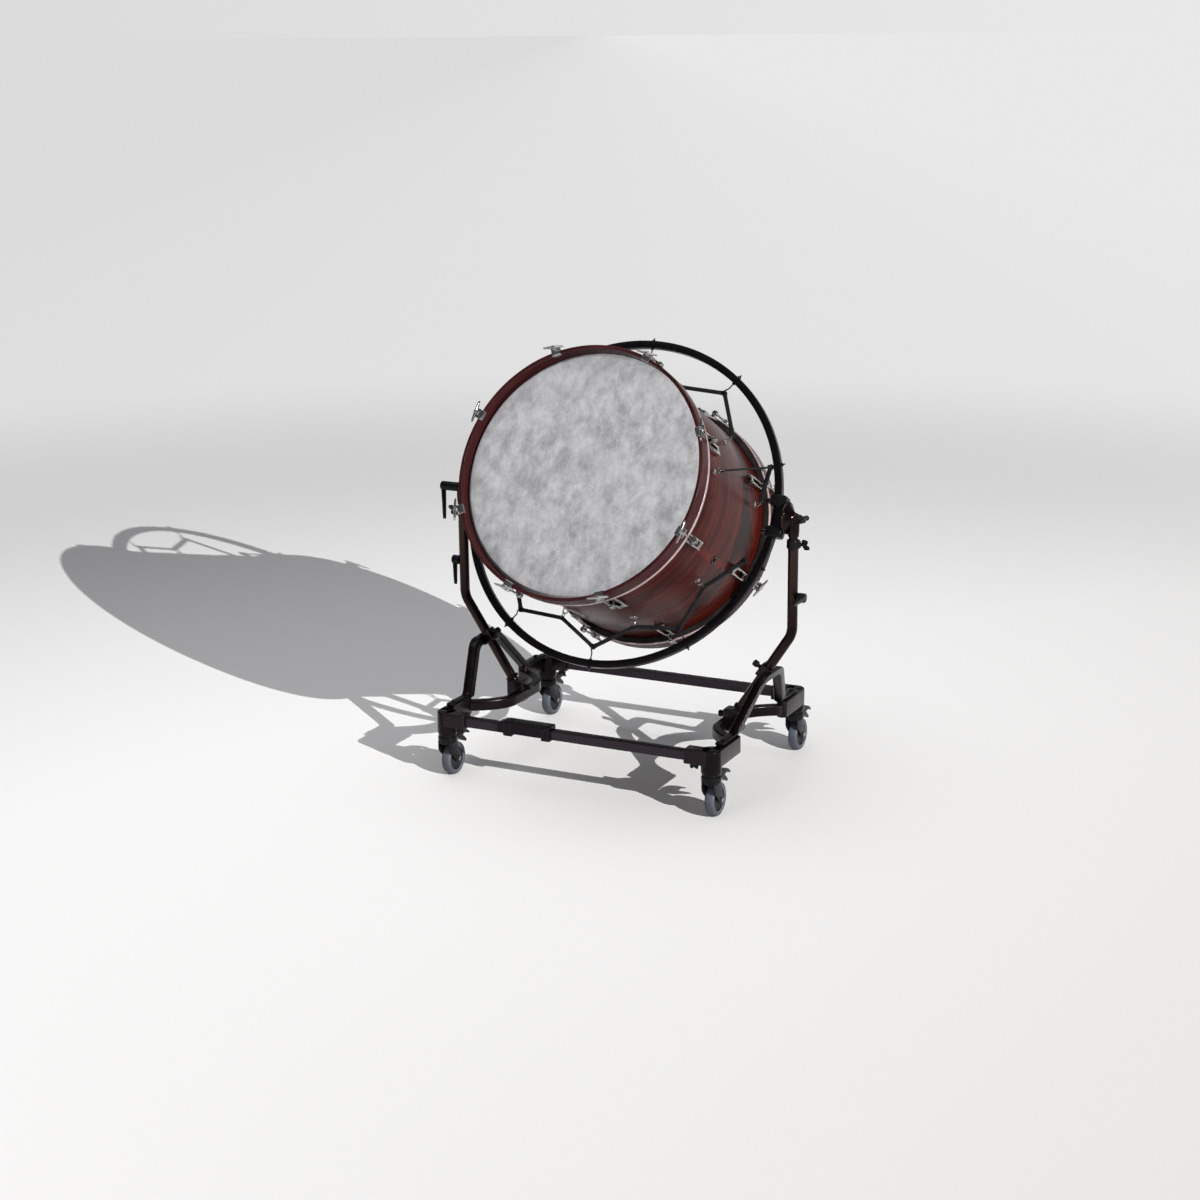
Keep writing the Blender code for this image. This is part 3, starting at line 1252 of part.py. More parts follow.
STAND = make_empty("stand", (SHIFT_X, SHIFT_Y, 0))
UPRIGHTS = make_empty("height_slide", (0, 0, TRUNNION_HEIGHT), STAND)
RING_PLANE = make_empty("tilt_axis", (0, 0, 0), UPRIGHTS, math.pi / 2 - TILT)
DRUM_CENTRE = make_empty("drum_centre", (0, 0, DRUM_FORWARD), RING_PLANE)
TILT_LEVER_AXIS = make_empty("tilt_lever_axis", (0, 0, 0), UPRIGHTS)
TILT_KNOB_AXIS = make_empty("tilt_knob_axis", (0, 0, 0), UPRIGHTS)
HEIGHT_LEVER_AXES = {name: make_empty("height_lever_axis_" + name, (0, 0, HEIGHT_LEVER_Z), STAND)
                     for name, _ in SIDES}

make_shell()
make_air_vent()
make_heads()
make_counterhoops()
make_tension_rods()
make_straps()
make_ring()
make_trunnions()
make_pivot_housings()
make_upper_posts()
make_memory_collars()
make_tilt_controls()
make_height_levers()
make_lower_posts()
make_side_frames()
make_rails()
make_rail_cover()
make_arches()
make_casters()
bpy.data.collections.remove(WORK)
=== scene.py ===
"""Looks of the concert bass drum on its tilting, wheeled stand: camera, light, materials and pieces."""
import math

import bmesh
import bpy
from mathutils import Matrix, Vector
from mathutils.geometry import tessellate_polygon


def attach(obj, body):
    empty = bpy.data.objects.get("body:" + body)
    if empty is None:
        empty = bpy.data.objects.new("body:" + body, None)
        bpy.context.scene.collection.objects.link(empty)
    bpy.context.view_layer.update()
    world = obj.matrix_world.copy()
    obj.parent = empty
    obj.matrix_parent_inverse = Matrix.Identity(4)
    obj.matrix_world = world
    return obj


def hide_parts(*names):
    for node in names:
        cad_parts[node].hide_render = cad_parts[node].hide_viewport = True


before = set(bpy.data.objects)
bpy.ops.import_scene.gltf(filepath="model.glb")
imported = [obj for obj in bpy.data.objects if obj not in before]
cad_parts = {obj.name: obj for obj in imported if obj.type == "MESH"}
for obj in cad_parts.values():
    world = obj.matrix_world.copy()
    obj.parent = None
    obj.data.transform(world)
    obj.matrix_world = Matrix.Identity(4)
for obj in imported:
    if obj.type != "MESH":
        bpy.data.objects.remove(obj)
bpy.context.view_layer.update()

# Sizes that the pieces share with the part, in metres; angles round the drum are in degrees
TILT = math.radians(27.1)
TRUNNION_HEIGHT = 0.817
DRUM_FORWARD = 0.010
SHELL_RADIUS = 0.3556
SHELL_INNER = 0.3471
BEARING_EDGE = 0.278
HOOP_RADIUS = 0.378
HOOP_INNER = 0.368
HOOP_FACE = 0.313
HOOP_BACK = 0.263
ROD_CIRCLE = 0.3865
CLAW_FACE = 0.3175
TENSION_COUNT = 8
TENSION_FIRST = 22.5
TENSION_STEP = 45
LUG_CENTRE = 0.185
LUG_HEIGHT = 0.015
LUG_SCREW_SPREAD = 0.036
EYELET_HEIGHT = 0.0165
MID_EYELETS = (18, 54, 126, 162, 198, 234, 306, 342)
SIDE_EYELET_ANGLE = 78.0
SIDE_EYELET_OFFSET = 0.170
VENT_ANGLE = 114.0
VENT_OFFSET = -0.010
LINK_BAR = 0.3856
UPPER_CHAIN = (306, 324, 342, 360, 378, 396, 414)
LOWER_CHAIN = (108, 126, 144, 162, 180, 198, 216, 234, 252)
STRAP_WIDTH = 0.013
RING_RADIUS = 0.4913
RING_HALF = 0.011
HOOK_COUNT = 10
HOOK_REACH = 0.441
HOOK_NECK = 0.457
SIDE_HOOK_ANGLE = 72.0
SIDE_HOOK_RADIUS = 0.468
BLOCK_INNER = 0.4705
BLOCK_OUTER = 0.520
POST_X = 0.5443
POST_BORE = 0.01305
POST_BEND_Z = 0.47526
POST_SLANT = math.radians(33.2)
POST_FOOT_Z = 0.206
FOOT_CLAMP_INNER = 0.3361
FOOT_CLAMP_OUTER = 0.3921
APEX_CLAMP_Z = 0.352
APEX_CLAMP_HALF = 0.020
LEVER_START = 0.5563
TILT_LEVER_REACH = 0.617
HEIGHT_LEVER_REACH = 0.584
HEIGHT_LEVER_Z = 0.586
COLLAR_BOTTOM = 0.7303
COLUMN_X = 0.4305
COLUMN_Y = 0.322
COLUMN_RADIUS = 0.030
COLUMN_BOTTOM = 0.136
FRAME_TOP = 0.207
RAIL_Y = 0.330
RAIL_Z = 0.1845
RAIL_WIDTH = 0.028
RAIL_REACH = 0.400
SOCKET_BOTTOM = 0.163
WHEEL_RADIUS = 0.050
WHEEL_TRAIL = 0.030
FORK_TOP = 0.106
FORK_INNER = 0.0295 / 2 + 0.0020
FORK_OUTER = FORK_INNER + 0.0035
PEDAL_PIVOT_Y = 0.037
PEDAL_PIVOT_Z = 0.122
SHIFT = Vector((0.0127, DRUM_FORWARD * math.cos(TILT), 0))
SIDES = (("left", -1), ("right", 1))
HEADS = (("front", 1), ("rear", -1))
CORNERS = (("front_left", -1, -1), ("front_right", 1, -1), ("rear_left", -1, 1), ("rear_right", 1, 1))

# Light and floor: positions in metres, power in watts
LIGHT_AIM = (0, 0, 0.8)
KEY_PLACE = (6.78, -3.54, 3.87)
KEY_POWER = 64.0
KEY_RADIUS = 0.014
FRONT_PLACE = (-0.6, -4.6, 1.9)
FRONT_POWER = 26.0
TOP_PLACE = (-0.8, 0.2, 4.2)
TOP_POWER = 64.0
FLOOR_NEAR = (0.50, 0.50, 0.50)
FLOOR_FAR = (0.85, 0.85, 0.85)
FLOOR_FADE = (3.0, 8.5)
FLOOR_REACH = 700
# Colours of the backdrop's painted glow, paler on the lamp's side; the world's low band takes them too
BACKDROP_GLOW_LEFT = (0.71, 0.71, 0.71)
BACKDROP_GLOW_RIGHT = (0.81, 0.81, 0.81)
BACKDROP_ACROSS = (0.895, 0.446, 0.0)
BACKDROP_FADE = (3.4, 8.0)
BACKDROP_REACH = 7.0
SKY_REACH = 0.25
SKY_LOW = (0.20, 0.20, 0.205)
SKY_HIGH = (0.095, 0.095, 0.105)
WHITE = (1.0, 1.0, 1.0)

# Facets of turned pieces, and the angle in degrees from which an edge stays sharp
FINE_SIDES = 256
HEAD_SIDES = 192
SMOOTH_ANGLE = 32
CAST_ANGLE = 40

# Outlines are drawn in a plane and pushed along an axis
ALONG_X = Matrix(((0, 0, 1, 0), (1, 0, 0, 0), (0, 1, 0, 0), (0, 0, 0, 1)))
ALONG_Y = Matrix(((0, 1, 0, 0), (0, 0, 1, 0), (1, 0, 0, 0), (0, 0, 0, 1)))
ALONG_Z = Matrix.Identity(4)
MIRROR_X = Matrix.Diagonal((-1, 1, 1, 1))
MIRROR_Y = Matrix.Diagonal((1, -1, 1, 1))


def at(x, y, z):
    return Matrix.Translation((x, y, z))


def turn(degrees, axis):
    return Matrix.Rotation(math.radians(degrees), 4, axis)


# These lay a piece that was turned about Z along another axis
TO_RIGHT = turn(90, "Y")
TO_LEFT = turn(-90, "Y")
TO_BACK = turn(-90, "X")
STAND = Matrix.Translation(SHIFT)
UPRIGHTS = STAND @ at(0, 0, TRUNNION_HEIGHT)
RING = UPRIGHTS @ Matrix.Rotation(math.pi / 2 - TILT, 4, "X")
DRUM = RING @ at(0, 0, DRUM_FORWARD)


def from_axes(x_axis, y_axis, z_axis, origin):
    place = Matrix((x_axis, y_axis, z_axis)).transposed().to_4x4()
    place.translation = origin
    return place


def facing(origin, along):
    """A frame at a point whose Z looks along a direction."""
    return Matrix.Translation(origin) @ Vector(along).to_track_quat("Z", "Y").to_matrix().to_4x4()


def head_frame(end):
    """The drum's frame with Z towards its front (1) or rear (-1) head."""
    return DRUM @ turn(0 if end > 0 else 180, "X")


def add_camera():
    """The photograph's view, fitted to the drum and its stand."""
    azimuth, elevation, roll = math.radians(26.482), math.radians(14.882), math.radians(-0.6041)
    level = Vector((math.cos(azimuth), math.sin(azimuth), 0))
    back = level.cross(Vector((0, 0, 1))) * math.cos(elevation) + Vector((0, 0, math.sin(elevation)))
    upright = back.cross(level)
    right = level * math.cos(roll) + upright * math.sin(roll)
    up = upright * math.cos(roll) - level * math.sin(roll)
    data = bpy.data.cameras.new("photo_camera")
    data.sensor_width = 36
    data.lens = 64.42
    camera = bpy.data.objects.new("photo_camera", data)
    bpy.context.scene.collection.objects.link(camera)
    camera.matrix_world = from_axes(right, up, back, Vector((2.714, -5.600, 2.172)) + SHIFT)
    bpy.context.scene.camera = camera


def add_light(name, kind, location, aim, energy, colour, **settings):
    data = bpy.data.lights.new(name, kind)
    data.energy = energy
    data.color = colour
    for key, value in settings.items():
        setattr(data, key, value)
    lamp = bpy.data.objects.new(name, data)
    bpy.context.scene.collection.objects.link(lamp)
    lamp.location = location
    lamp.rotation_euler = (Vector(location) - Vector(aim)).to_track_quat("Z", "Y").to_euler()
    return lamp


def spare_head():
    """The key lamp throws no shadow of the front hoop and its fittings on the head."""
    spared = bpy.data.collections.new("spared")
    names = [f"front_tension_rod_{index + 1}_handle" for index in range(TENSION_COUNT)]
    for name in ["front_hoop_wood", "front_claws"] + names:
        spared.objects.link(bpy.data.objects[name])
    bpy.data.objects["key_lamp"].light_linking.blocker_collection = spared
    for entry in spared.collection_objects:
        entry.light_linking.link_state = "EXCLUDE"


def start_material(name):
    material = bpy.data.materials.new(name)
    material.use_nodes = True
    return material, material.node_tree, material.node_tree.nodes["Principled BSDF"]


def node(tree, kind, inputs=None, **settings):
    made = tree.nodes.new(kind)
    for key, value in settings.items():
        setattr(made, key, value)
    for key, value in (inputs or {}).items():
        if isinstance(value, bpy.types.NodeSocket):
            tree.links.new(value, made.inputs[key])
        else:
            made.inputs[key].default_value = value
    return made


def noise(tree, size=1.0, detail=4.0, roughness=0.55, distortion=0.0, stretch=(1, 1, 1)):
    """Cloudy noise with size waves per metre; stretch multiplies them along X, Y and Z."""
    place = node(tree, "ShaderNodeTexCoord").outputs["Object"]
    place = node(tree, "ShaderNodeMapping", {"Vector": place, "Scale": stretch}).outputs[0]
    inputs = {"Vector": place, "Scale": size, "Detail": detail, "Roughness": roughness,
              "Distortion": distortion}
    return node(tree, "ShaderNodeTexNoise", inputs).outputs["Fac"]


def ranged(tree, value, first, last, low=0.0, high=1.0, **settings):
    """Map first...last to low...high."""
    inputs = {"Value": value, "From Min": first, "From Max": last, "To Min": low, "To Max": high}
    return node(tree, "ShaderNodeMapRange", inputs, **settings).outputs[0]


def measured(tree, operation, *vectors):
    """A number from vectors: their distance, length or dot product."""
    return node(tree, "ShaderNodeVectorMath", dict(enumerate(vectors)), operation=operation).outputs["Value"]


def spread(tree, value, low, high):
    """Map noise, most of which lies between 0.3 and 0.7, to low...high."""
    return ranged(tree, value, 0.3, 0.7, low, high)


def ramp(tree, value, *stops):
    made = node(tree, "ShaderNodeValToRGB", {"Fac": value})
    points = made.color_ramp.elements
    while len(points) < len(stops):
        points.new(0.5)
    for point, (place, colour) in zip(points, stops):
        point.position = place
        point.color = (*colour, 1)
    return made.outputs["Color"]


def mixed(tree, amount, first, second, blend="MIX"):
    made = node(tree, "ShaderNodeMix", data_type="RGBA", blend_type=blend)
    for index, value in ((0, amount), (6, first), (7, second)):
        if isinstance(value, bpy.types.NodeSocket):
            tree.links.new(value, made.inputs[index])
        elif index == 0:
            made.inputs[0].default_value = value
        else:
            made.inputs[index].default_value = (*value, 1)
    return made.outputs[2]


def edge_light(tree):
    """Worn, rounded-over edges read a little lighter."""
    return ranged(tree, node(tree, "ShaderNodeNewGeometry").outputs["Pointiness"], 0.52, 0.60)


def finished(start, colour, roughness, specular, *bumps, metallic=0.0):
    """Wire up the shader; each bump is (height, strength, distance)."""
    material, tree, shader = start
    tree.links.new(colour, shader.inputs["Base Color"])
    tree.links.new(roughness, shader.inputs["Roughness"])
    shader.inputs["Specular IOR Level"].default_value = specular
    shader.inputs["Metallic"].default_value = metallic
    inputs = {}
    for height, strength, distance in bumps:
        inputs.update({"Height": height, "Strength": strength, "Distance": distance})
        inputs["Normal"] = node(tree, "ShaderNodeBump", inputs).outputs[0]
    tree.links.new(inputs["Normal"], shader.inputs["Normal"])
    return material


def wood_material(name, dark, middle, light, stretch):
    """Stained veneer: long streaks run round the drum, fine pores lie over them."""
    start = start_material(name)
    tree = start[1]
    streaks = noise(tree, detail=7, roughness=0.66, distortion=0.35, stretch=(stretch, stretch, 75))
    colour = ramp(tree, streaks, (0.36, dark), (0.50, middle), (0.66, light))
    clouds = noise(tree, detail=3, stretch=(3.2, 3.2, 5.0))
    colour = mixed(tree, spread(tree, clouds, 0.0, 0.40), colour, dark)
    pores = noise(tree, detail=2, roughness=0.4, stretch=(stretch * 6, stretch * 6, 900))
    fine = ramp(tree, pores, (0.34, (0.45, 0.40, 0.38)), (0.50, WHITE))
    colour = mixed(tree, 0.55, colour, fine, "MULTIPLY")
    colour = mixed(tree, edge_light(tree), colour, light)
    return finished(start, colour, spread(tree, clouds, 0.24, 0.34), 0.10,
                    (streaks, 0.10, 0.0004), (pores, 0.12, 0.0001))


def skin_material():
    """Fibre-filled drum head: soft grey clouds in a pale film, with fine fibres."""
    start = start_material("mottled_skin")
    tree = start[1]
    clouds = noise(tree, 19, detail=9, roughness=0.72, distortion=0.12, stretch=(1.3, 0.85, 1))
    colour = ramp(tree, clouds, (0.37, (0.215, 0.215, 0.224)), (0.50, (0.318, 0.317, 0.332)),
                  (0.63, (0.410, 0.408, 0.428)))
    drift = noise(tree, 9, detail=3)
    colour = mixed(tree, spread(tree, drift, 0.0, 0.25), colour, (0.360, 0.357, 0.378))
    fibres = noise(tree, detail=2, distortion=0.8, stretch=(700, 260, 400))
    fine = ramp(tree, fibres, (0.3, (0.72, 0.72, 0.74)), (0.7, WHITE))
    colour = mixed(tree, 0.25, colour, fine, "MULTIPLY")
    return finished(start, colour, spread(tree, clouds, 0.62, 0.74), 0.10,
                    (clouds, 0.15, 0.0004), (fibres, 0.25, 0.0002))


def metal_material(name, colour, second, roughness, metallic=1.0):
    """Plated or bare metal with soft smears and faint handling marks."""
    start = start_material(name)
    tree = start[1]
    smears = noise(tree, 45, detail=5, roughness=0.6)
    return finished(start, mixed(tree, spread(tree, smears, 0.0, 1.0), colour, second),
                    spread(tree, smears, roughness * 0.7, roughness * 1.5), 0.5,
                    (noise(tree, 160, detail=2), 0.10, 0.0003), metallic=metallic)


def paint_material(name, dark, warm, worn, roughness, hammer):
    """Metal-flake enamel; hammer is how deep its dimples are, in metres."""
    start = start_material(name)
    tree = start[1]
    drift = noise(tree, 12)
    flakes = noise(tree, 1400, detail=1)
    colour = mixed(tree, spread(tree, drift, 0.0, 1.0), dark, warm)
    colour = mixed(tree, spread(tree, flakes, 0.0, 0.22), colour, worn)
    colour = mixed(tree, edge_light(tree), colour, worn)
    dimples = noise(tree, 210, detail=1.5, distortion=0.4)
    return finished(start, colour, spread(tree, drift, roughness * 0.8, roughness * 1.25), 0.25,
                    (dimples, 0.5, hammer), (flakes, 0.05, 0.0002), metallic=0.9)


def plastic_material(name, dark, light, roughness, grain, bump):
    """Moulded plastic or rubber with a fine even grain."""
    start = start_material(name)
    tree = start[1]
    drift = noise(tree, 25)
    colour = mixed(tree, spread(tree, drift, 0.0, 1.0), dark, light)
    colour = mixed(tree, edge_light(tree), colour, light)
    return finished(start, colour, spread(tree, drift, roughness * 0.88, roughness * 1.12), 0.14,
                    (noise(tree, grain, detail=2), 0.25, bump))


def lamp_side_ramp(tree, place, reach):
    """The backdrop is a little paler on the lamp's side: on the floor this ramp is a painted glow, and in
    the world it is the light itself.
    """
    side = ranged(tree, measured(tree, "DOT_PRODUCT", place, BACKDROP_ACROSS), -reach, reach)
    return ramp(tree, side, (0.0, BACKDROP_GLOW_LEFT), (1.0, BACKDROP_GLOW_RIGHT))


def floor_material():
    """Plain pale paper, toned down towards the lamp so that it stays even; far off it becomes a painted
    glow.
    """
    material, tree, shader = start_material("floor_paper_and_glow")
    place = node(tree, "ShaderNodeTexCoord").outputs["Object"]
    away = measured(tree, "DISTANCE", place, (*KEY_PLACE[:2], 0))
    colour = ramp(tree, ranged(tree, away, *FLOOR_FADE), (0.0, FLOOR_NEAR), (1.0, FLOOR_FAR))
    grain = ramp(tree, noise(tree, 40, detail=3), (0.3, (0.8, 0.8, 0.8)), (0.7, WHITE))
    tree.links.new(mixed(tree, 0.03, colour, grain, "MULTIPLY"), shader.inputs["Base Color"])
    shader.inputs["Roughness"].default_value = 0.9
    shader.inputs["Specular IOR Level"].default_value = 0.1
    # Past the shadow's reach the paper turns into a glowing backdrop, a painted glow that stands in for lit
    # paper
    far = ranged(tree, measured(tree, "LENGTH", place), *BACKDROP_FADE, interpolation_type="SMOOTHSTEP")
    glow = node(tree, "ShaderNodeEmission", {"Color": lamp_side_ramp(tree, place, BACKDROP_REACH), "Strength": 1.0})
    both = node(tree, "ShaderNodeMixShader", {0: far, 1: shader.outputs[0], 2: glow.outputs[0]})
    tree.links.new(both.outputs[0], tree.nodes["Material Output"].inputs["Surface"])
    return material


def add_studio():
    scene = bpy.context.scene
    scene.view_settings.view_transform = "Standard"
    shape = bmesh.new()
    bmesh.ops.create_grid(shape, x_segments=4, y_segments=4, size=FLOOR_REACH)
    floor = as_object(shape)
    floor.name = "floor"
    floor.data.materials.append(floor_material())
    # A small lamp, low on the right, casts the long shadow; its light doesn't fade with distance
    lamp = add_light("key_lamp", "POINT", KEY_PLACE, LIGHT_AIM, KEY_POWER, (1.0, 0.985, 0.965),
                     shadow_soft_size=KEY_RADIUS)
    lamp.data.use_nodes = True
    tree = lamp.data.node_tree
    steady = node(tree, "ShaderNodeLightFalloff", {"Strength": 1.0})
    tree.links.new(steady.outputs["Constant"], tree.nodes["Emission"].inputs["Strength"])
    # A broad soft light low in front evens out the head
    add_light("front_softbox", "AREA", FRONT_PLACE, LIGHT_AIM, FRONT_POWER, WHITE,
              shape="RECTANGLE", size=2.4, size_y=1.6)
    add_light("top_softbox", "AREA", TOP_PLACE, (-0.4, 0, 0), TOP_POWER, (0.99, 0.99, 1.0),
              shape="RECTANGLE", size=4.0, size_y=3.0)
    world = bpy.data.worlds.new("studio")
    scene.world = world
    world.use_nodes = True
    tree = world.node_tree
    toward = node(tree, "ShaderNodeTexCoord").outputs["Generated"]
    height = node(tree, "ShaderNodeSeparateXYZ", {"Vector": toward}).outputs["Z"]
    upper = ramp(tree, height, (0.08, SKY_LOW), (1.0, SKY_HIGH))
    sky = mixed(tree, ranged(tree, height, 0.02, 0.08), lamp_side_ramp(tree, toward, SKY_REACH), upper)
    shader = tree.nodes["Background"]
    tree.links.new(sky, shader.inputs["Color"])
    shader.inputs["Strength"].default_value = 1.0


def placed(mesh, matrix):
    """A working object; the finished piece gets its name later."""
    obj = bpy.data.objects.new("work", mesh)
    bpy.context.scene.collection.objects.link(obj)
    obj.matrix_world = matrix
    return obj


def as_object(shape, matrix=ALONG_Z):
    mesh = bpy.data.meshes.new("work")
    bmesh.ops.recalc_face_normals(shape, faces=shape.faces)
    shape.to_mesh(mesh)
    shape.free()
    return placed(mesh, matrix)


def cut_out(obj, tool):
    """Take one solid away from another."""
    modifier = obj.modifiers.new("Cut", "BOOLEAN")
    modifier.operation = "DIFFERENCE"
    modifier.solver = "EXACT"
    modifier.object = tool
    bpy.context.view_layer.update()
    graph = bpy.context.evaluated_depsgraph_get()
    mesh = bpy.data.meshes.new_from_object(obj.evaluated_get(graph))
    obj.modifiers.clear()
    obj.data = mesh
    bpy.data.objects.remove(tool)
    return obj


def filleted(points, radius, steps=4, closed=True):
    """An outline or path with its corners rounded; radius is one number or one for each point."""
    line = [Vector(point) for point in points]
    result = []
    for index, point in enumerate(line):
        size = radius[index] if isinstance(radius, list) else radius
        if size == 0 or (not closed and index in (0, len(line) - 1)):
            result.append(point)
            continue
        before = line[index - 1] - point
        after = line[(index + 1) % len(line)] - point
        start = point + before.normalized() * min(size, before.length * 0.49)
        end = point + after.normalized() * min(size, after.length * 0.49)
        for step in range(steps + 1):
            t = step / steps
            result.append(start * (1 - t) ** 2 + point * (2 * t * (1 - t)) + end * t ** 2)
    return result


def cornered(corners, steps=3):
    """An outline from corners of (x, y, rounding)."""
    return filleted([corner[:2] for corner in corners], [corner[2] for corner in corners], steps)


def both_ways(half):
    """Corners followed by their mirror images in y."""
    return half + [(x, -y, edge) for x, y, edge in reversed(half)]


def lathe(profile, sides, matrix=ALONG_Z, closed=True):
    """Turn (radius, height) points about Z."""
    shape = bmesh.new()
    rings = []
    for step in range(sides):
        angle = 2 * math.pi * step / sides
        rings.append([shape.verts.new((r * math.sin(angle), r * math.cos(angle), z)) for r, z in profile])
    count = len(profile)
    for index, ring in enumerate(rings):
        following = rings[(index + 1) % sides]
        for point in range(count if closed else count - 1):
            after = (point + 1) % count
            shape.faces.new((ring[point], ring[after], following[after], following[point]))
    bmesh.ops.remove_doubles(shape, verts=shape.verts, dist=0.000001)
    return as_object(shape, matrix)


def turned(corners, sides, steps=3, matrix=ALONG_Z, closed=False):
    """Turn corners of (radius, height, rounding) about Z; open ones start and end on the axis."""
    return lathe(cornered(corners, steps), sides, matrix, closed)


def tube(inner, outer, low, high, edge, sides, steps=3, matrix=ALONG_Z):
    corners = [(inner, low), (outer, low), (outer, high), (inner, high)]
    return lathe(filleted(corners, edge, steps), sides, matrix)


def bar(start, end, radius, end_radius=None, edge=0.0008, sides=24):
    """A round bar or cone with softened ends."""
    along = Vector(end) - Vector(start)
    tip = radius if end_radius is None else end_radius
    corners = [(0, 0, 0), (radius, 0, edge), (tip, along.length, edge), (0, along.length, 0)]
    return moved(turned(corners, sides), facing(start, along))


def inset(outline, amount):
    """A counter-clockwise outline moved inwards by an amount."""
    points = []
    for index, point in enumerate(outline):
        before = (point - outline[index - 1]).normalized()
        after = (outline[(index + 1) % len(outline)] - point).normalized()
        normal = Vector((-before.y - after.y, before.x + after.x))
        if normal.length < 1e-6:
            normal = Vector((-before.y, before.x))
        normal.normalize()
        stretch = max(0.4, normal.dot(Vector((-before.y, before.x))))
        points.append(point + normal * (amount / stretch))
    return points


def prism(outline, low, high, along=ALONG_Z, edge=0.0):
    """Push a flat outline from low to high, with rounded rims."""
    points = [Vector((point[0], point[1])) for point in outline]
    if sum(points[index - 1].cross(point) for index, point in enumerate(points)) < 0:
        points.reverse()
    stations = [(0.0, low), (0.0, high)]
    if edge:
        steps = 3
        angles = [math.pi / 2 * step / steps for step in range(steps + 1)]
        rim = [(edge * (1 - math.sin(angle)), edge * (1 - math.cos(angle))) for angle in angles]
        stations = [(side, low + up) for side, up in rim] + [(side, high - up) for side, up in rim[::-1]]
    shape = bmesh.new()
    rings = []
    for side, height in stations:
        rings.append([shape.verts.new((point.x, point.y, height)) for point in inset(points, side)])
    for first, second in zip(rings, rings[1:]):
        for index in range(len(points)):
            after = (index + 1) % len(points)
            shape.faces.new((first[index], first[after], second[after], second[index]))
    for ring in (rings[0], rings[-1]):
        for corners in tessellate_polygon([[vertex.co for vertex in ring]]):
            shape.faces.new([ring[corner] for corner in corners])
    bmesh.ops.transform(shape, matrix=along, verts=shape.verts)
    return as_object(shape)


def block(low, high, radius):
    """A box with rounded edges."""
    corners = [(low[0], low[1]), (high[0], low[1]), (high[0], high[1]), (low[0], high[1])]
    return prism(filleted(corners, radius * 1.3, 3), low[2], high[2], edge=radius)


def sweep(path, section, cyclic=False, side=None):
    """Carry a section of (across, up) points along a path; side is the across direction at its start."""
    line = [Vector(point) for point in path]
    count = len(line)
    shape = bmesh.new()
    loops = []
    across = None if side is None else Vector(side)
    for index, point in enumerate(line):
        before = line[index - 1] if cyclic or index else point
        after = line[(index + 1) % count] if cyclic or index < count - 1 else point
        way = (after - before).normalized()
        if across is None:
            across = way.orthogonal()
        across = (across - way * across.dot(way)).normalized()
        up = way.cross(across)
        first = (point - before).normalized() if (point - before).length > 0 else way
        stretch = 1 / max(0.3, way.dot(first))
        bend = (after - point).cross(point - before)
        pull = bend.normalized().cross(way) if bend.length > 1e-9 else None
        loop = []
        for a, b in section:
            offset = across * a + up * b
            if pull is not None:
                offset += pull * offset.dot(pull) * (stretch - 1)
            loop.append(shape.verts.new(point + offset))
        loops.append(loop)
    size = len(section)
    for index in range(count if cyclic else count - 1):
        one = loops[index]
        two = loops[(index + 1) % count]
        for corner in range(size):
            after = (corner + 1) % size
            shape.faces.new((one[corner], one[after], two[after], two[corner]))
    if not cyclic:
        shape.faces.new(loops[0][::-1])
        shape.faces.new(loops[-1])
    return as_object(shape)


def section_loft(stations, sides=20):
    """Skin a row of ellipses along X: each station is (x, half depth, half height, height of centre)."""
    shape = bmesh.new()
    angles = [2 * math.pi * step / sides for step in range(sides)]
    rings = []
    for x, deep, tall, centre in stations:
        rings.append([shape.verts.new((x, deep * math.cos(angle), centre + tall * math.sin(angle)))
                      for angle in angles])
    for first, second in zip(rings, rings[1:]):
        for step in range(sides):
            after = (step + 1) % sides
            shape.faces.new((first[step], first[after], second[after], second[step]))
    shape.faces.new(rings[0][::-1])
    shape.faces.new(rings[-1])
    return as_object(shape)


def circle(radius, sides=12):
    angles = [2 * math.pi * step / sides for step in range(sides)]
    return [(radius * math.cos(angle), radius * math.sin(angle)) for angle in angles]


def moved(obj, matrix):
    obj.data.transform(matrix)
    if matrix.determinant() < 0:
        obj.data.flip_normals()
    return obj


def twin(obj, matrix=ALONG_Z):
    """A copy of an object with its mesh moved."""
    return moved(placed(obj.data.copy(), obj.matrix_world), matrix)


def joined(shapes):
    """Several working shapes as one object, in the place of the first."""
    home = shapes[0].matrix_world.copy()
    shape = bmesh.new()
    for obj in shapes:
        obj.data.transform(home.inverted() @ obj.matrix_world)
        shape.from_mesh(obj.data)
        bpy.data.objects.remove(obj)
    mesh = bpy.data.meshes.new("work")
    shape.to_mesh(mesh)
    shape.free()
    return placed(mesh, home)


def repeated(obj, matrices, home):
    """Copies of a working shape as one object whose frame is home."""
    copies = joined([twin(obj, matrix) for matrix in matrices])
    bpy.data.objects.remove(obj)
    copies.matrix_world = home
    return copies


def done(obj, name, material, body, nodes, angle=SMOOTH_ANGLE, home=None):
    """Give a piece its name, material, shading and body; home is the frame that it is laid in."""
    if home is not None:
        obj.matrix_world = home
    obj.name = name
    obj.data.name = name
    obj.data.materials.clear()
    obj.data.materials.append(material)
    obj.data.shade_smooth()
    obj.data.set_sharp_from_angle(angle=math.radians(angle))
    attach(obj, body)
    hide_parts(*nodes)


def mirrored_pair(make, name, material, body, home, replaced, angle=CAST_ANGLE):
    """Build a piece for the right and its mirror image for the left."""
    for side_name, side in SIDES:
        obj = make()
        if side < 0:
            moved(obj, MIRROR_X)
        done(obj, f"{name}_{side_name}", material, body, (f"{replaced}_{side_name}",), angle, home)


def around(angle, radius, axial=0.0):
    """A point at an angle in degrees from the drum's top, towards +X."""
    angle = math.radians(angle)
    return Vector((radius * math.sin(angle), radius * math.cos(angle), axial))


def fitting(angle, radius, axial=0.0, end=1):
    """Place a fitting whose +Y is outward and whose +Z faces its own head."""
    place = turn(-angle, "Z") @ at(0, radius, axial)
    return place if end > 0 else place @ turn(180, "Y")


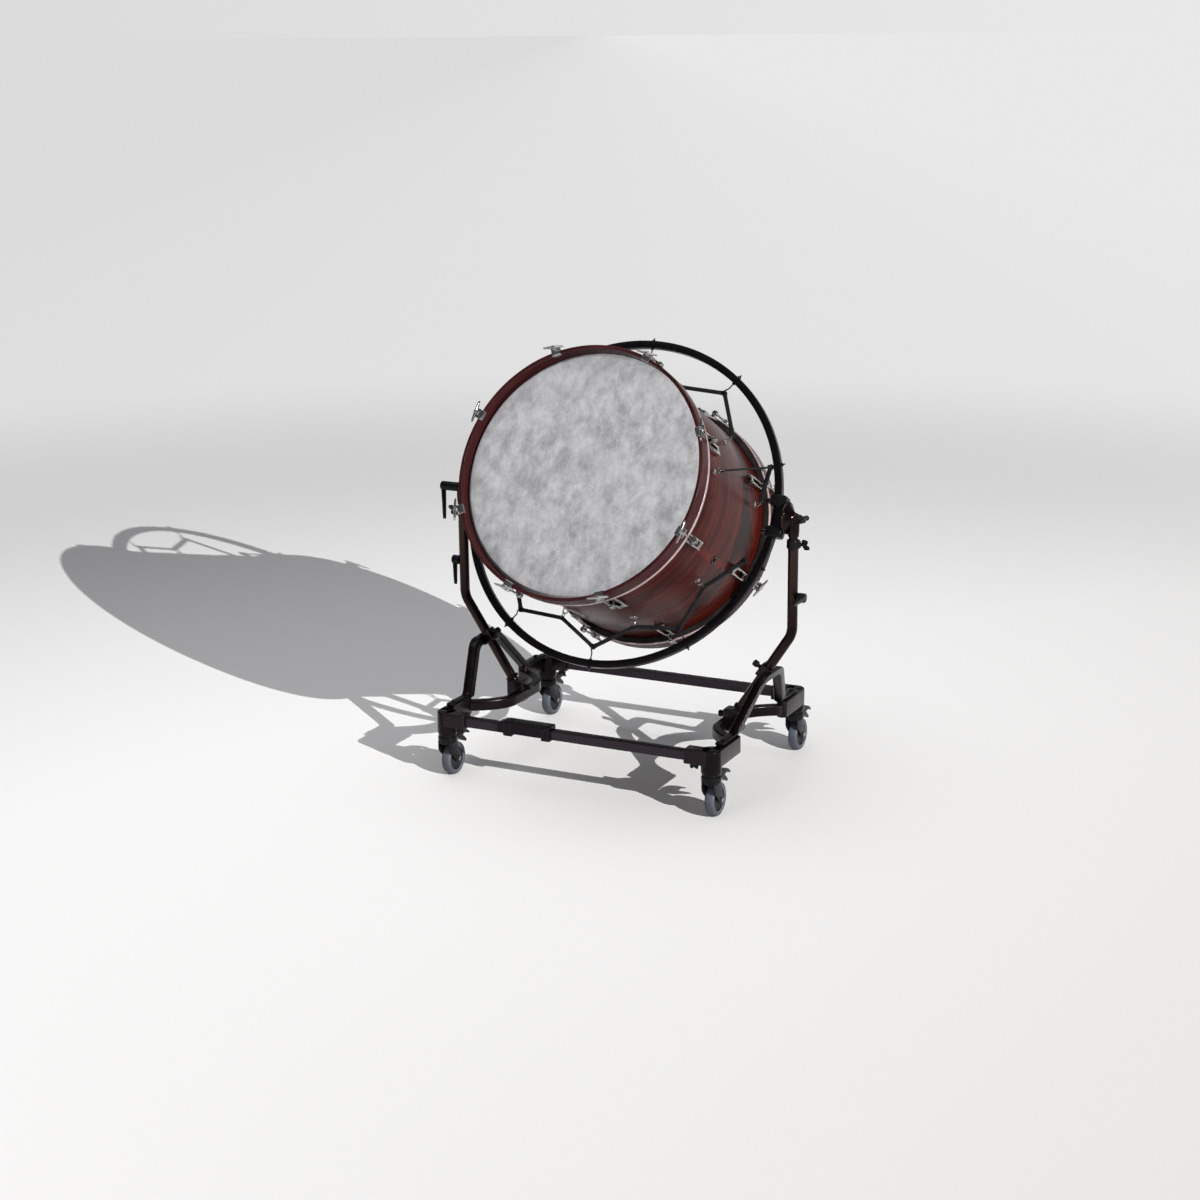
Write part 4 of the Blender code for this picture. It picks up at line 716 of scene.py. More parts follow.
def tension_places(radius, axial, ends=(1, -1)):
    return [fitting(TENSION_FIRST + TENSION_STEP * index, radius, end * axial, end)
            for end in ends for index in range(TENSION_COUNT)]


MAHOGANY = wood_material("mahogany", (0.008, 0.0020, 0.0020), (0.046, 0.0047, 0.0032),
                         (0.116, 0.0112, 0.0058), 2.2)
HOOP_WOOD = wood_material("hoop_wood", (0.022, 0.0055, 0.0060), (0.040, 0.0090, 0.0100),
                          (0.066, 0.0155, 0.0170), 3.0)
SKIN = skin_material()
CHROME = metal_material("chrome", (0.47, 0.46, 0.455), (0.31, 0.30, 0.295), 0.075)
CHROME_BLACK = metal_material("black_chrome", (0.060, 0.060, 0.065), (0.030, 0.030, 0.034), 0.20)
STEEL_HOOP = metal_material("flesh_hoop_steel", (0.54, 0.43, 0.43), (0.40, 0.31, 0.31), 0.36, 0.45)
WIRE_STEEL = metal_material("wire_steel", (0.42, 0.42, 0.43), (0.24, 0.24, 0.25), 0.24)
RING_PAINT = paint_material("ring_paint", (0.007, 0.006, 0.007), (0.010, 0.008, 0.010),
                            (0.035, 0.030, 0.038), 0.32, 0.00004)
RAIL_PAINT = paint_material("rail_paint", (0.006, 0.005, 0.006), (0.010, 0.007, 0.009),
                            (0.035, 0.028, 0.035), 0.30, 0.00004)
CASTING_PAINT = paint_material("casting_paint", (0.005, 0.004, 0.005), (0.011, 0.0075, 0.0085),
                               (0.045, 0.034, 0.040), 0.24, 0.00040)
POST_PAINT = paint_material("post_paint", (0.006, 0.004, 0.004), (0.015, 0.0085, 0.0070),
                            (0.055, 0.038, 0.034), 0.20, 0.00003)
# Painted shade: near-black for the flesh hoop's face, which lies in shade
HOOP_SHADE_CORE = plastic_material("flesh_hoop_painted_shade", (0.008, 0.006, 0.006), (0.020, 0.015, 0.015),
                             0.50, 500, 0.0001)
BLACK_METAL = plastic_material("black_metal", (0.0022, 0.0020, 0.0026), (0.0055, 0.0052, 0.0065),
                               0.30, 500, 0.0001)
STRAP_RUBBER = plastic_material("strap_rubber", (0.004, 0.004, 0.0045), (0.011, 0.011, 0.013),
                                0.66, 900, 0.0003)
TYRE_RUBBER = plastic_material("tyre_rubber", (0.045, 0.049, 0.060), (0.098, 0.105, 0.127),
                               0.55, 1200, 0.0002)
HUB_PLASTIC = plastic_material("hub_plastic", (0.006, 0.006, 0.007), (0.018, 0.018, 0.021),
                               0.45, 400, 0.0002)


def make_shell():
    """The shell with its vent hole and grommet."""
    shell = tube(SHELL_INNER, SHELL_RADIUS, -BEARING_EDGE, BEARING_EDGE, 0.003, FINE_SIDES, matrix=DRUM)
    hole = bar(around(VENT_ANGLE, SHELL_INNER - 0.01, VENT_OFFSET),
               around(VENT_ANGLE, SHELL_RADIUS + 0.01, VENT_OFFSET), 0.0101, edge=0)
    hole.matrix_world = DRUM
    done(cut_out(shell, hole), "shell_tube", MAHOGANY, "drum", ("shell",))
    vent = turned([(0.0140, 0, 0), (0.0140, 0.0010, 0.0004), (0.0118, 0.0026, 0.001),
                   (0.0080, 0.0026, 0.001), (0.0065, 0.0008, 0.001), (0.0065, -0.011, 0.0003),
                   (0.0097, -0.011, 0.0003), (0.0097, 0, 0)], 40, 3, DRUM, closed=True)
    moved(vent, fitting(VENT_ANGLE, SHELL_RADIUS + 0.0003, VENT_OFFSET) @ TO_BACK)
    done(vent, "vent_grommet", CHROME_BLACK, "drum", ("air_vent",))


def make_heads():
    """Film over the bearing edge, its sloping collar, and the banded hoop that its edge is set in: a steel
    band round a near-black core, which is painted shade on the hoop's face.
    """
    film, top, rim, outer, inside, collar_edge = 0.2783, 0.2791, 0.2627, 0.3757, 0.3559, 0.3672
    low, seat = rim - 0.011, rim + 0.0006
    profile = [(0, top, 0), (0.30, top, 0), (0.3545, top, 0.004), (collar_edge, rim + 0.002, 0.0005),
               (collar_edge, seat, 0), (inside, seat, 0), (inside, film, 0), (0, film, 0)]
    for name, end in HEADS:
        place = head_frame(end)
        skin = turned(profile, HEAD_SIDES, 5, place)
        # The core is near-black: painted shade on the flesh hoop's face and in the gap by the head
        shaded_core = tube(inside + 0.001, outer, low, rim, 0.0018, HEAD_SIDES, 4, place)
        band = tube(outer - 0.001, outer + 0.002, low, rim, 0.0007, FINE_SIDES, 3, place)
        for piece, word, material in ((skin, "_head_film", SKIN), (shaded_core, "_flesh_hoop", HOOP_SHADE_CORE),
                                      (band, "_flesh_hoop_band", STEEL_HOOP)):
            done(piece, name + word, material, "drum", (name + "_head",))


def claw():
    """A claw hook: a curled plate over the hoop with a lip inside it and a boss for the rod."""
    inner, outer, gap = HOOP_INNER - 0.0030, 0.3935, 0.0002
    lip, skirt = HOOP_FACE - 0.009, HOOP_FACE - 0.022
    plate = prism(cornered([
        (inner, CLAW_FACE, 0.002), (inner, lip, 0.001), (HOOP_INNER - gap, lip, 0.001),
        (HOOP_INNER - gap, HOOP_FACE + gap, 0.0005), (HOOP_RADIUS + gap, HOOP_FACE + gap, 0.0005),
        (HOOP_RADIUS + gap, skirt, 0.001), (HOOP_RADIUS + 0.0032, skirt, 0.001),
        (HOOP_RADIUS + 0.0040, HOOP_FACE - 0.004, 0.003), (outer, HOOP_FACE - 0.001, 0.001),
        (outer, CLAW_FACE, 0.0015)], 4), -0.014, 0.014, ALONG_X, 0.0012)
    boss = tube(0.0042, 0.0078, HOOP_FACE - 0.006, CLAW_FACE, 0.0008, 28)
    return joined([plate, moved(boss, at(0, ROD_CIRCLE, 0))])


def make_hoops():
    for name, end in HEADS:
        place = head_frame(end)
        hoop = tube(HOOP_INNER, HOOP_RADIUS, HOOP_BACK, HOOP_FACE, [0.0015, 0.002, 0.003, 0.0015],
                    FINE_SIDES, 5, place)
        claws = repeated(claw(), tension_places(0, 0, ends=(1,)), place)
        for piece, word, material in ((hoop, "_hoop_wood", HOOP_WOOD), (claws, "_claws", CHROME)):
            done(piece, name + word, material, "drum", (name + "_counterhoop",))


def make_rods():
    """T-handled rods; each turns on its own."""
    base, foot, radius, tip = CLAW_FACE + 0.0003, 0.221, 0.0033, 0.3338
    reach, handle_height, handle_turn = 0.034, 0.3274, 12.0
    profile = [(0, tip), (0.0028, tip), (0.0044, 0.3330), (0.0052, 0.3312), (0.0044, 0.3252),
               (0.0044, 0.3240), (0.0060, 0.3230), (0.0073, 0.3205), (0.0075, base), (0.0036, base),
               (radius, base - 0.002), (radius, foot + 0.001), (0.0025, foot), (0, foot)]
    stations = []
    for step in range(-16, 17):
        along = step / 16
        size = 1 - abs(along) ** 1.3
        cap = max(0.15, math.sqrt(1 - (max(0.0, abs(along) - 0.9) / 0.1) ** 2)) if abs(along) < 1 else 0.15
        deep, tall = (0.0024 + 0.0022 * size) * cap, (0.0028 + 0.0030 * size) * cap
        stations.append((reach * along, deep, tall, handle_height))
    rod = joined([lathe(profile, 28, closed=False), section_loft(stations)])
    for name, end in HEADS:
        for index, place in enumerate(tension_places(ROD_CIRCLE, 0, (end,))):
            copy = twin(rod, turn(handle_turn * (-1) ** index, "Z"))
            body = f"{name}_tension_rod_{index + 1}"
            done(copy, body + "_handle", CHROME, body, (body,), CAST_ANGLE, DRUM @ place)
    bpy.data.objects.remove(rod)


def lug():
    """A two-rail lug with an open window and a round tower for the rod."""
    half, reach, window, rail, end_length = 0.014, 0.050, 0.007, 0.0035, 0.019
    section = cornered([(-rail, 0, 0.0021), (rail, 0, 0.0021), (rail, LUG_HEIGHT, 0.0030),
                        (-rail, LUG_HEIGHT, 0.0030)], 4)
    shapes = [moved(prism(section, -reach, reach, edge=0.002), at(side * (half - rail), 0, 0))
              for side in (-1, 1)]
    for end in (-1, 1):
        low, high = sorted((end * reach, end * (reach - end_length)))
        shapes.append(block((-window - 0.001, 0, low), (window + 0.001, LUG_HEIGHT - 0.0015, high), 0.0015))
    start = reach - end_length
    tower = turned([(0.0037, start, 0), (0.0078, start, 0.002), (0.0086, reach - 0.012, 0.003),
                    (0.0086, reach - 0.003, 0.002), (0.0070, reach, 0.001), (0.0037, reach, 0)],
                   32, 4, closed=True)
    shapes.append(moved(tower, at(0, ROD_CIRCLE - SHELL_RADIUS, 0)))
    shapes.append(block((-0.0062, 0.006, reach - 0.018), (0.0062, 0.0290, reach - 0.0015), 0.002))
    return joined(shapes)


def make_lugs():
    lugs = repeated(lug(), tension_places(SHELL_RADIUS, LUG_CENTRE), DRUM)
    done(lugs, "shell_lugs", CHROME, "drum", ("shell",), CAST_ANGLE)
    screw = joined([bar((0, 0, 0), (0, -0.0012, 0), 0.0075, edge=0.0003),
                    block((-0.0046, -0.005, -0.0046), (0.0046, -0.001, 0.0046), 0.0005)])
    places = [place for side in (-1, 1)
              for place in tension_places(SHELL_INNER, LUG_CENTRE + side * LUG_SCREW_SPREAD)]
    done(repeated(screw, places, DRUM), "shell_lug_screws", WIRE_STEEL, "drum", ("shell",))


def make_eyelets():
    base = turned([(0, 0, 0), (0.0105, 0, 0.0004), (0.0105, 0.0012, 0.001), (0.0060, 0.0028, 0.001),
                   (0, 0.0030, 0)], 28)
    path = filleted([(-0.0085, 0.001, 0), (-0.0060, EYELET_HEIGHT, 0), (0.0060, EYELET_HEIGHT, 0),
                     (0.0085, 0.001, 0)], 0.0075, 8, closed=False)
    eyelet = joined([moved(base, TO_BACK), sweep(path, circle(0.0018), side=(0, 0, 1))])
    places = [fitting(angle, SHELL_RADIUS, -DRUM_FORWARD) for angle in MID_EYELETS]
    places += [fitting(side * SIDE_EYELET_ANGLE, SHELL_RADIUS, end * SIDE_EYELET_OFFSET - DRUM_FORWARD)
               for side in (-1, 1) for end in (-1, 1)]
    done(repeated(eyelet, places, DRUM), "shell_eyelets", CHROME, "drum", ("shell",))


def strap_eye(centre, across, outer, hole):
    """The looped end of a strap, rolled about the direction across it."""
    eye = tube(hole, outer, -STRAP_WIDTH / 2, STRAP_WIDTH / 2, 0.0008, 24)
    return moved(eye, facing(centre, across))


def strap_band(start, end, across):
    """A flat band whose ends run into its eyes."""
    half, wide = 0.002, STRAP_WIDTH / 2
    length = (end - start).length
    along = (end - start).normalized()
    normal = across.cross(along).normalized()
    band = prism([(0, -half), (length, -half), (length, half), (0, half)], -wide, wide, edge=0.0009)
    return moved(band, from_axes(along, normal, across, start))


def flat_strap(start, end):
    """A moulded strap that lies in the ring's plane, with a round eye on the hook and a square end."""
    along = (end - start).normalized()
    across = Vector((-along.y, along.x, 0))
    eye, half, length = 0.0080, STRAP_WIDTH / 2, (end - start).length
    slim, neck, square = half * 0.86, 0.014, 0.012
    outline = [(eye * math.cos(angle), eye * math.sin(angle))
               for angle in [math.radians(60 + 240 * step / 16) for step in range(17)]]
    outline += [(neck, -slim), (length - square, -slim), (length + 0.003, -half),
                (length + 0.003, half), (length - square, slim), (neck, slim)]
    points = [start + along * x + across * y for x, y in outline]
    return prism([(point.x, point.y) for point in points], -0.004, 0.004, edge=0.0014)


def link_wire(bar_place, along, across):
    """The wire loop between an eyelet and its straps."""
    narrow, wide = 0.005, STRAP_WIDTH / 2 + 0.0012
    back = bar_place - along * narrow
    front = bar_place + along * (0.0185 - narrow)
    corners = [back - across * narrow, back + across * narrow, front + across * wide, front - across * wide]
    return sweep(filleted(corners, 0.003, 4), circle(0.0012, 10), cyclic=True)


def finish_straps(name, bands, links):
    for shapes, word, material, slot in ((bands, "_bands", STRAP_RUBBER, "black_rubber"),
                                         (links, "_links", WIRE_STEEL, "chrome")):
        done(joined(shapes), name + word, material, "drum", (name,), home=RING)


def make_straps():
    axial = Vector((0, 0, 1))
    bar_radius = SHELL_RADIUS + EYELET_HEIGHT
    for name, chain in (("upper_straps", UPPER_CHAIN), ("lower_straps", LOWER_CHAIN)):
        bands = []
        for first, second in zip(chain, chain[1:]):
            hook, link = (first, second) if second % 360 in MID_EYELETS else (second, first)
            bands.append(flat_strap(around(hook, HOOK_REACH), around(link, LINK_BAR)))
        links = [link_wire(around(angle, bar_radius), around(angle, 1.0), axial)
                 for angle in chain if angle % 360 in MID_EYELETS]
        finish_straps(name, bands, links)
    for side_name, side in SIDES:
        out = around(side * SIDE_HOOK_ANGLE, 1.0)
        hook = around(side * SIDE_HOOK_ANGLE, SIDE_HOOK_RADIUS)
        bands = [strap_eye(hook, out, 0.0085, 0.0045)]
        links = []
        for end in (-1, 1):
            place = around(side * SIDE_EYELET_ANGLE, bar_radius, end * SIDE_EYELET_OFFSET)
            along = (hook - place).normalized()
            across = along.cross(out).normalized().cross(along).normalized()
            start = place + along * 0.0135
            bands.append(strap_band(start, hook - along * 0.004, across))
            bands.append(strap_eye(start, across, 0.0042, 0.0012))
            links.append(link_wire(place, along, across))
        finish_straps("side_strap_" + side_name, bands, links)


def make_ring():
    inner = RING_RADIUS - RING_HALF
    outer = RING_RADIUS + RING_HALF
    done(tube(inner, outer, -RING_HALF, RING_HALF, 0.0022, FINE_SIDES, 4, RING), "ring_tube", RING_PAINT,
         "drum", ("tilt_ring",))
    neck, lift = (HOOK_NECK + HOOK_REACH) / 2, 0.0105
    path = filleted([(0, inner + 0.002, 0), (0, HOOK_NECK, 0), (0, neck, lift), (0, HOOK_REACH, lift),
                     (0, HOOK_REACH, -lift)], 0.006, 6, closed=False)
    wire = sweep(path, circle(0.0020), side=(1, 0, 0))
    stub = [bar((0, inner - 0.004, 0), (0, inner + 0.002, 0), 0.0046, edge=0.0006),
            bar((0, outer + 0.003, 0), (0, outer + 0.0105, 0), 0.0022, edge=0.0004)]
    nut = turned([(0, 0, 0), (0.0058, 0, 0.0005), (0.0058, 0.0045, 0.001), (0, 0.005, 0)], 6)
    hook = joined([wire] + stub + [moved(nut, at(0, outer, 0) @ TO_BACK)])
    hooks = repeated(hook, [fitting(360 / HOOK_COUNT * index, 0) for index in range(HOOK_COUNT)], RING)
    done(hooks, "ring_hooks", BLACK_METAL, "drum", ("tilt_ring",), CAST_ANGLE)


def trunnion_casting():
    """A block clamped on the ring, with a step and the shaft that turns in the housing."""
    inner_y, outer_y, half = 0.030, 0.062, 0.018
    outline = both_ways([(0.4905, -inner_y, 0.003), (BLOCK_INNER, -inner_y, 0.003),
                         (BLOCK_INNER, -outer_y, 0.003), (0.5165, -outer_y, 0.006),
                         (BLOCK_OUTER, -0.050, 0.010)])
    casting = prism(cornered(outline, 4), -half, half, edge=0.0022)
    step = bar((0.516, 0, 0), (0.5222, 0, 0), 0.0155, edge=0.001)
    shaft = bar((0.519, 0, 0), (0.551, 0, 0), 0.008)
    return joined([casting, step, shaft])


def trunnion_bolts():
    shapes = []
    for y in (-0.046, 0.046):
        shapes.append(bar((BLOCK_INNER + 0.001, y, 0), (BLOCK_INNER - 0.0025, y, 0), 0.0105, edge=0.0006))
        head = turned([(0, 0.019, 0), (0.0040, 0.019, 0.0006), (0.0046, 0.016, 0.001),
                       (0.0078, 0.0155, 0.001), (0.0085, 0.008, 0.001), (0.0085, 0, 0), (0, 0, 0)], 28)
        shapes.append(moved(head, at(BLOCK_INNER, y, 0) @ TO_LEFT))
    return joined(shapes)


def housing():
    """The flared bell on each post that carries the ring's shaft, with its socket and set screw."""
    profile = [(0, 0.556), (0.0155, 0.556), (0.0165, 0.555), (0.0168, 0.5495), (0.0185, 0.5480)]
    for along in [step / 8 for step in range(1, 9)]:
        profile.append((0.0185 + 0.0270 * along ** 1.5, 0.5480 - 0.0180 * along))
    profile += [(0.0466, 0.5292), (0.0470, 0.5284), (0.0470, 0.5243), (0.0462, 0.5235), (0.0420, 0.5235),
                (0.0405, 0.5250), (0, 0.5250)]
    bell = moved(lathe(profile, 64, closed=False), TO_RIGHT)
    socket = lathe(filleted([(0.0131, -0.052), (0.0160, -0.052), (0.0172, -0.030), (0.0172, 0.004),
                             (0.0131, 0.004)], 0.001, 3), 40)
    screw = bar((0.5300, 0.0, -0.033), (0.5352, 0.0, -0.033), 0.0030)
    return joined([bell, moved(socket, at(POST_X, 0, 0)), screw])


def wing_screw(scale=1.0):
    """A butterfly screw along +X with rounded lobes."""
    half = [(0.008, -0.0042, 0.001), (0.0110, -0.021, 0.006), (0.028, -0.018, 0.006),
            (0.0275, -0.0075, 0.004)]
    lobes = both_ways(half)
    lobes.insert(len(half), (0.0200, 0.0, 0.004))
    wings = prism(cornered(lobes, 5), -0.0025, 0.0025, edge=0.0014)
    hub = bar((-0.002, 0, 0), (0.020, 0, 0), 0.0058, end_radius=0.0042, edge=0.001)
    return moved(joined([wings, hub]), Matrix.Scale(scale, 4))


def upper_post():
    """The sliding tube, in the frame of the tilt axis."""
    bore, radius, bottom, top = 0.0108, 0.01285, 0.500, 0.8005
    post = tube(bore, radius, bottom - TRUNNION_HEIGHT, top - TRUNNION_HEIGHT, 0.001, 48)
    return moved(post, at(POST_X, 0, 0))


def collar():
    low = COLLAR_BOTTOM - TRUNNION_HEIGHT
    ring = moved(tube(POST_BORE, 0.0190, low, low + 0.025, 0.002, 48), at(POST_X, 0, 0))
    clamp = block((POST_X + 0.012, -0.0065, low + 0.003), (POST_X + 0.0215, 0.0065, low + 0.022), 0.0015)
    screw = moved(wing_screw(), at(POST_X + 0.019, 0, low + 0.0125) @ turn(123, "X"))
    return joined([ring, clamp, screw])


def lever(start_x, reach, length):
    """A hub along X with a tapering arm that hangs from its outer end."""
    radius, thick, taper = 0.014, 0.013, 0.86
    hub = bar((start_x, 0, 0), (reach, 0, 0), radius, edge=0.0035, sides=40)
    stations = []
    for along in [step / 24 for step in range(25)]:
        wide = 0.0118 - 0.0055 * along
        if along > taper:
            wide *= math.sqrt(max(0.04, 1 - ((along - taper) / (1 - taper)) ** 2))
        stations.append((length * along, wide, thick / 2 * (1 - 0.25 * along), 0.0))
    arm = moved(section_loft(stations, 24), at(reach - thick / 2, 0, 0) @ TO_RIGHT)
    shoulder = bar((start_x, 0, 0), (start_x + 0.006, 0, 0), radius * 0.8, edge=0.001, sides=40)
    return joined([hub, arm, shoulder])


def make_levers():
    """The tilt lever, the T-knob and the two height levers."""
    handle = moved(lever(LEVER_START, TILT_LEVER_REACH, 0.105), MIRROR_X)
    done(handle, "tilt_lever_handle", BLACK_METAL, "tilt_lever", ("tilt_lever",),
         home=UPRIGHTS)
    base = turned([(0, 0.5803, 0), (0.0085, 0.5803, 0.001), (0.0100, 0.5785, 0.001),
                   (0.0100, 0.5665, 0.0015), (0.0135, 0.5655, 0.001), (0.0135, LEVER_START, 0.001),
                   (0, LEVER_START, 0)], 40)
    cross_x, cross_y, ball_radius = 0.5755, 0.021, 0.0078
    shapes = [moved(base, TO_RIGHT), bar((cross_x, -cross_y, 0), (cross_x, cross_y, 0), 0.0048)]
    angles = [math.radians(-86 + 172 * step / 12) for step in range(13)]
    for side in (-1, 1):
        ball = section_loft([(math.sin(angle) * ball_radius, math.cos(angle) * ball_radius,
                              math.cos(angle) * ball_radius, 0) for angle in angles])
        shapes.append(moved(ball, at(cross_x, side * cross_y, 0)))
    done(joined(shapes), "tilt_knob_cross", BLACK_METAL, "tilt_knob", ("tilt_knob",),
         CAST_ANGLE, UPRIGHTS)
    for name, side in SIDES:
        handle = moved(lever(0.5596, HEIGHT_LEVER_REACH, 0.079), turn(-90, "X") if side > 0 else MIRROR_X)
        body = "height_lever_" + name
        done(handle, body + "_handle", BLACK_METAL, body, (body,),
             home=STAND @ at(0, 0, HEIGHT_LEVER_Z))


def slanted_x(z):
    """Where the slanted foot of the post is at a height."""
    return POST_X - (POST_BEND_Z - z) * math.tan(POST_SLANT)


def lower_post():
    """The fixed tube: upright at the top, bent inwards to its foot."""
    radius, top = 0.075, 0.730
    tangent = radius * math.tan(POST_SLANT / 2)
    points = [(POST_X, 0, top), (POST_X, 0, POST_BEND_Z + tangent)]
    for angle in [POST_SLANT * step / 12 for step in range(1, 13)]:
        points.append((POST_X - radius + radius * math.cos(angle), 0,
                       POST_BEND_Z + tangent - radius * math.sin(angle)))
    points.append((slanted_x(POST_FOOT_Z), 0, POST_FOOT_Z))
    lip = moved(tube(POST_BORE, 0.0154, top - 0.0035, top, 0.0005, 40, 2), at(POST_X, 0, 0))
    return joined([sweep(points, circle(0.015, 40), side=(0, 1, 0)), lip])


def make_uprights():
    mirrored_pair(trunnion_casting, "trunnion_casting", BLACK_METAL, "drum", RING,
                  "trunnion_block")
    mirrored_pair(trunnion_bolts, "trunnion_bolts", CHROME_BLACK, "drum", RING,
                  "trunnion_block")
    mirrored_pair(housing, "housing_bell", POST_PAINT, "uprights", UPRIGHTS,
                  "pivot_housing")
    mirrored_pair(upper_post, "upper_post_tube", POST_PAINT, "uprights", UPRIGHTS,
                  "upper_post", SMOOTH_ANGLE)
    mirrored_pair(collar, "collar_clamp", BLACK_METAL, "uprights", UPRIGHTS, "memory_collar")
    mirrored_pair(lower_post, "lower_post_tube", POST_PAINT, "base", STAND, "lower_post")


def corner_casting():
    """Caster column with a side arm and a socket arm for the rail."""
    column = turned([(0, COLUMN_BOTTOM, 0), (COLUMN_RADIUS - 0.0015, COLUMN_BOTTOM, 0.001),
                     (COLUMN_RADIUS, COLUMN_BOTTOM + 0.006, 0.001), (COLUMN_RADIUS, FRAME_TOP, 0.004),
                     (0, FRAME_TOP, 0)], 64, 4)
    outer = COLUMN_X + COLUMN_RADIUS
    inner = outer - 0.033
    start, bevel, round_off = 0.1705, 0.008, 0.0045
    arm = cornered([(inner, start + bevel, round_off), (inner + bevel, start, round_off),
                    (outer - bevel, start, round_off), (outer, start + bevel, round_off),
                    (outer, COLUMN_Y, 0), (inner, COLUMN_Y, 0)], 4)
    socket = block((0.356, RAIL_Y - 0.022, SOCKET_BOTTOM), (COLUMN_X, RAIL_Y + 0.022, FRAME_TOP), 0.0035)
    return joined([moved(column, at(COLUMN_X, COLUMN_Y, 0)),
                   prism(arm, FRAME_TOP - 0.051, FRAME_TOP, edge=0.0035), socket])


def corner_screw():
    """The small wing screw under the rail's socket."""
    return moved(wing_screw(0.65), at(0.381, RAIL_Y, SOCKET_BOTTOM) @ TO_RIGHT @ turn(90, "X"))


def bow():
    """The bow between the corners, swept outwards at its ends."""
    end_x = COLUMN_X + COLUMN_RADIUS - 0.0165
    middle_x, half_width = 0.344, 0.0135
    upper = []
    for along in [step / 24 for step in range(25)]:
        upper.append(Vector((middle_x + (end_x - middle_x) * along ** 2, 0.070 + 0.1085 * along)))
    line = [Vector((point.x, -point.y)) for point in reversed(upper)] + upper
    sides = ([], [])
    for index, point in enumerate(line):
        before = line[max(0, index - 1)]
        after = line[min(len(line) - 1, index + 1)]
        way = (after - before).normalized()
        normal = Vector((-way.y, way.x)) * half_width
        sides[0].append(point + normal)
        sides[1].append(point - normal)
    return prism(sides[0] + sides[1][::-1], 0.164, 0.197, edge=0.0045)


def clamp_knob(length):
    """A small round clamp knob with a stepped cap."""
    return turned([(0, 0, 0), (0.0062, 0, 0), (0.0062, length * 0.35, 0.001), (0.0100, length * 0.42, 0.001),
                   (0.0100, length * 0.92, 0.0015), (0.0070, length, 0.001), (0, length, 0)], 32)


def clamp_frame(z):
    """The slanted post's own frame at a height."""
    return at(slanted_x(z), 0, z) @ Matrix.Rotation(POST_SLANT, 4, "Y")


def foot_clamp():
    top = 0.226
    clamp = block((FOOT_CLAMP_INNER, -0.022, 0.158), (FOOT_CLAMP_OUTER, 0.022, top), 0.004)
    return joined([clamp, moved(tube(0.0153, 0.0205, 0, 0.009, 0.0015, 40), clamp_frame(top))])


def arch():
    """Side arch: toes on the frame, leaning legs and a rounded crown."""
    base = FRAME_TOP + 0.0003
    toe = base + 0.010
    top, crown, leg, spread_y, toe_y = 0.357, 0.333, 0.034, 0.86, 0.288

    def leg_y(z):
        return 0.191 - spread_y * (z - FRAME_TOP - 0.010)

    right = [(leg_y(base) - leg, base, 0.005), (toe_y, base, 0.005), (toe_y, toe, 0.005),
             (leg_y(toe), toe, 0.012), (leg_y(top), top, 0.030)]
    left = [(-y, z, edge) for y, z, edge in reversed(right)]
    inside = [(side * (leg_y(crown) - leg), crown, 0.018) for side in (-1, 1)]
    middle, half = 0.438, 0.014
    plate = prism(cornered(right + left + inside, 7), middle - half, middle + half, ALONG_X, 0.0040)
    lean = math.tan(math.radians(15.5))
    shear = Matrix.Identity(4)
    shear[0][2] = lean
    shear[0][3] = -lean * FRAME_TOP
    size = APEX_CLAMP_HALF
    clamp = moved(block((-size, -size, -size), (size, size, size), 0.003), clamp_frame(APEX_CLAMP_Z))
    return joined([moved(plate, shear), clamp])


def side_frame():
    return joined([corner_casting(), moved(corner_casting(), MIRROR_Y), bow(), foot_clamp()])


def side_knobs():
    knob = moved(clamp_knob(0.021), at(FOOT_CLAMP_INNER, 0, 0.205) @ TO_LEFT)
    return joined([corner_screw(), moved(corner_screw(), MIRROR_Y), knob])


def arch_fittings():
    """The apex clamp's knob and the bolts that hold the arch's toes to the side arms."""
    knob = moved(clamp_knob(0.026), clamp_frame(APEX_CLAMP_Z) @ at(-APEX_CLAMP_HALF, 0, 0) @ TO_LEFT)
    bolts = [bar((0.4415, y, FRAME_TOP + 0.0095), (0.4415, y, FRAME_TOP + 0.0150), 0.0062, edge=0.0012)
             for y in (-0.262, 0.262)]
    return joined([knob] + bolts)


def make_base():
    for make, name, material, slot, replaced in (
            (side_frame, "side_casting", CASTING_PAINT, "casting_paint", "side_frame"),
            (side_knobs, "side_knobs", BLACK_METAL, "black_metal", "side_frame"),
            (arch, "arch_casting", CASTING_PAINT, "casting_paint", "arch"),
            (arch_fittings, "arch_knobs", BLACK_METAL, "black_metal", "arch")):
        mirrored_pair(make, name, material, "base", STAND, replaced)
    half = RAIL_WIDTH / 2
    corners = [(-half, -half), (half, -half), (half, half), (-half, half)]
    for name, side in (("front_rail", -1), ("back_rail", 1)):
        section = [(side * RAIL_Y + y, RAIL_Z + z) for y, z in filleted(corners, RAIL_WIDTH / 10, 4)]
        rail = prism(section, -RAIL_REACH, RAIL_REACH, ALONG_X)
        done(rail, name + "_tube", RAIL_PAINT, "base", (name,), home=STAND)


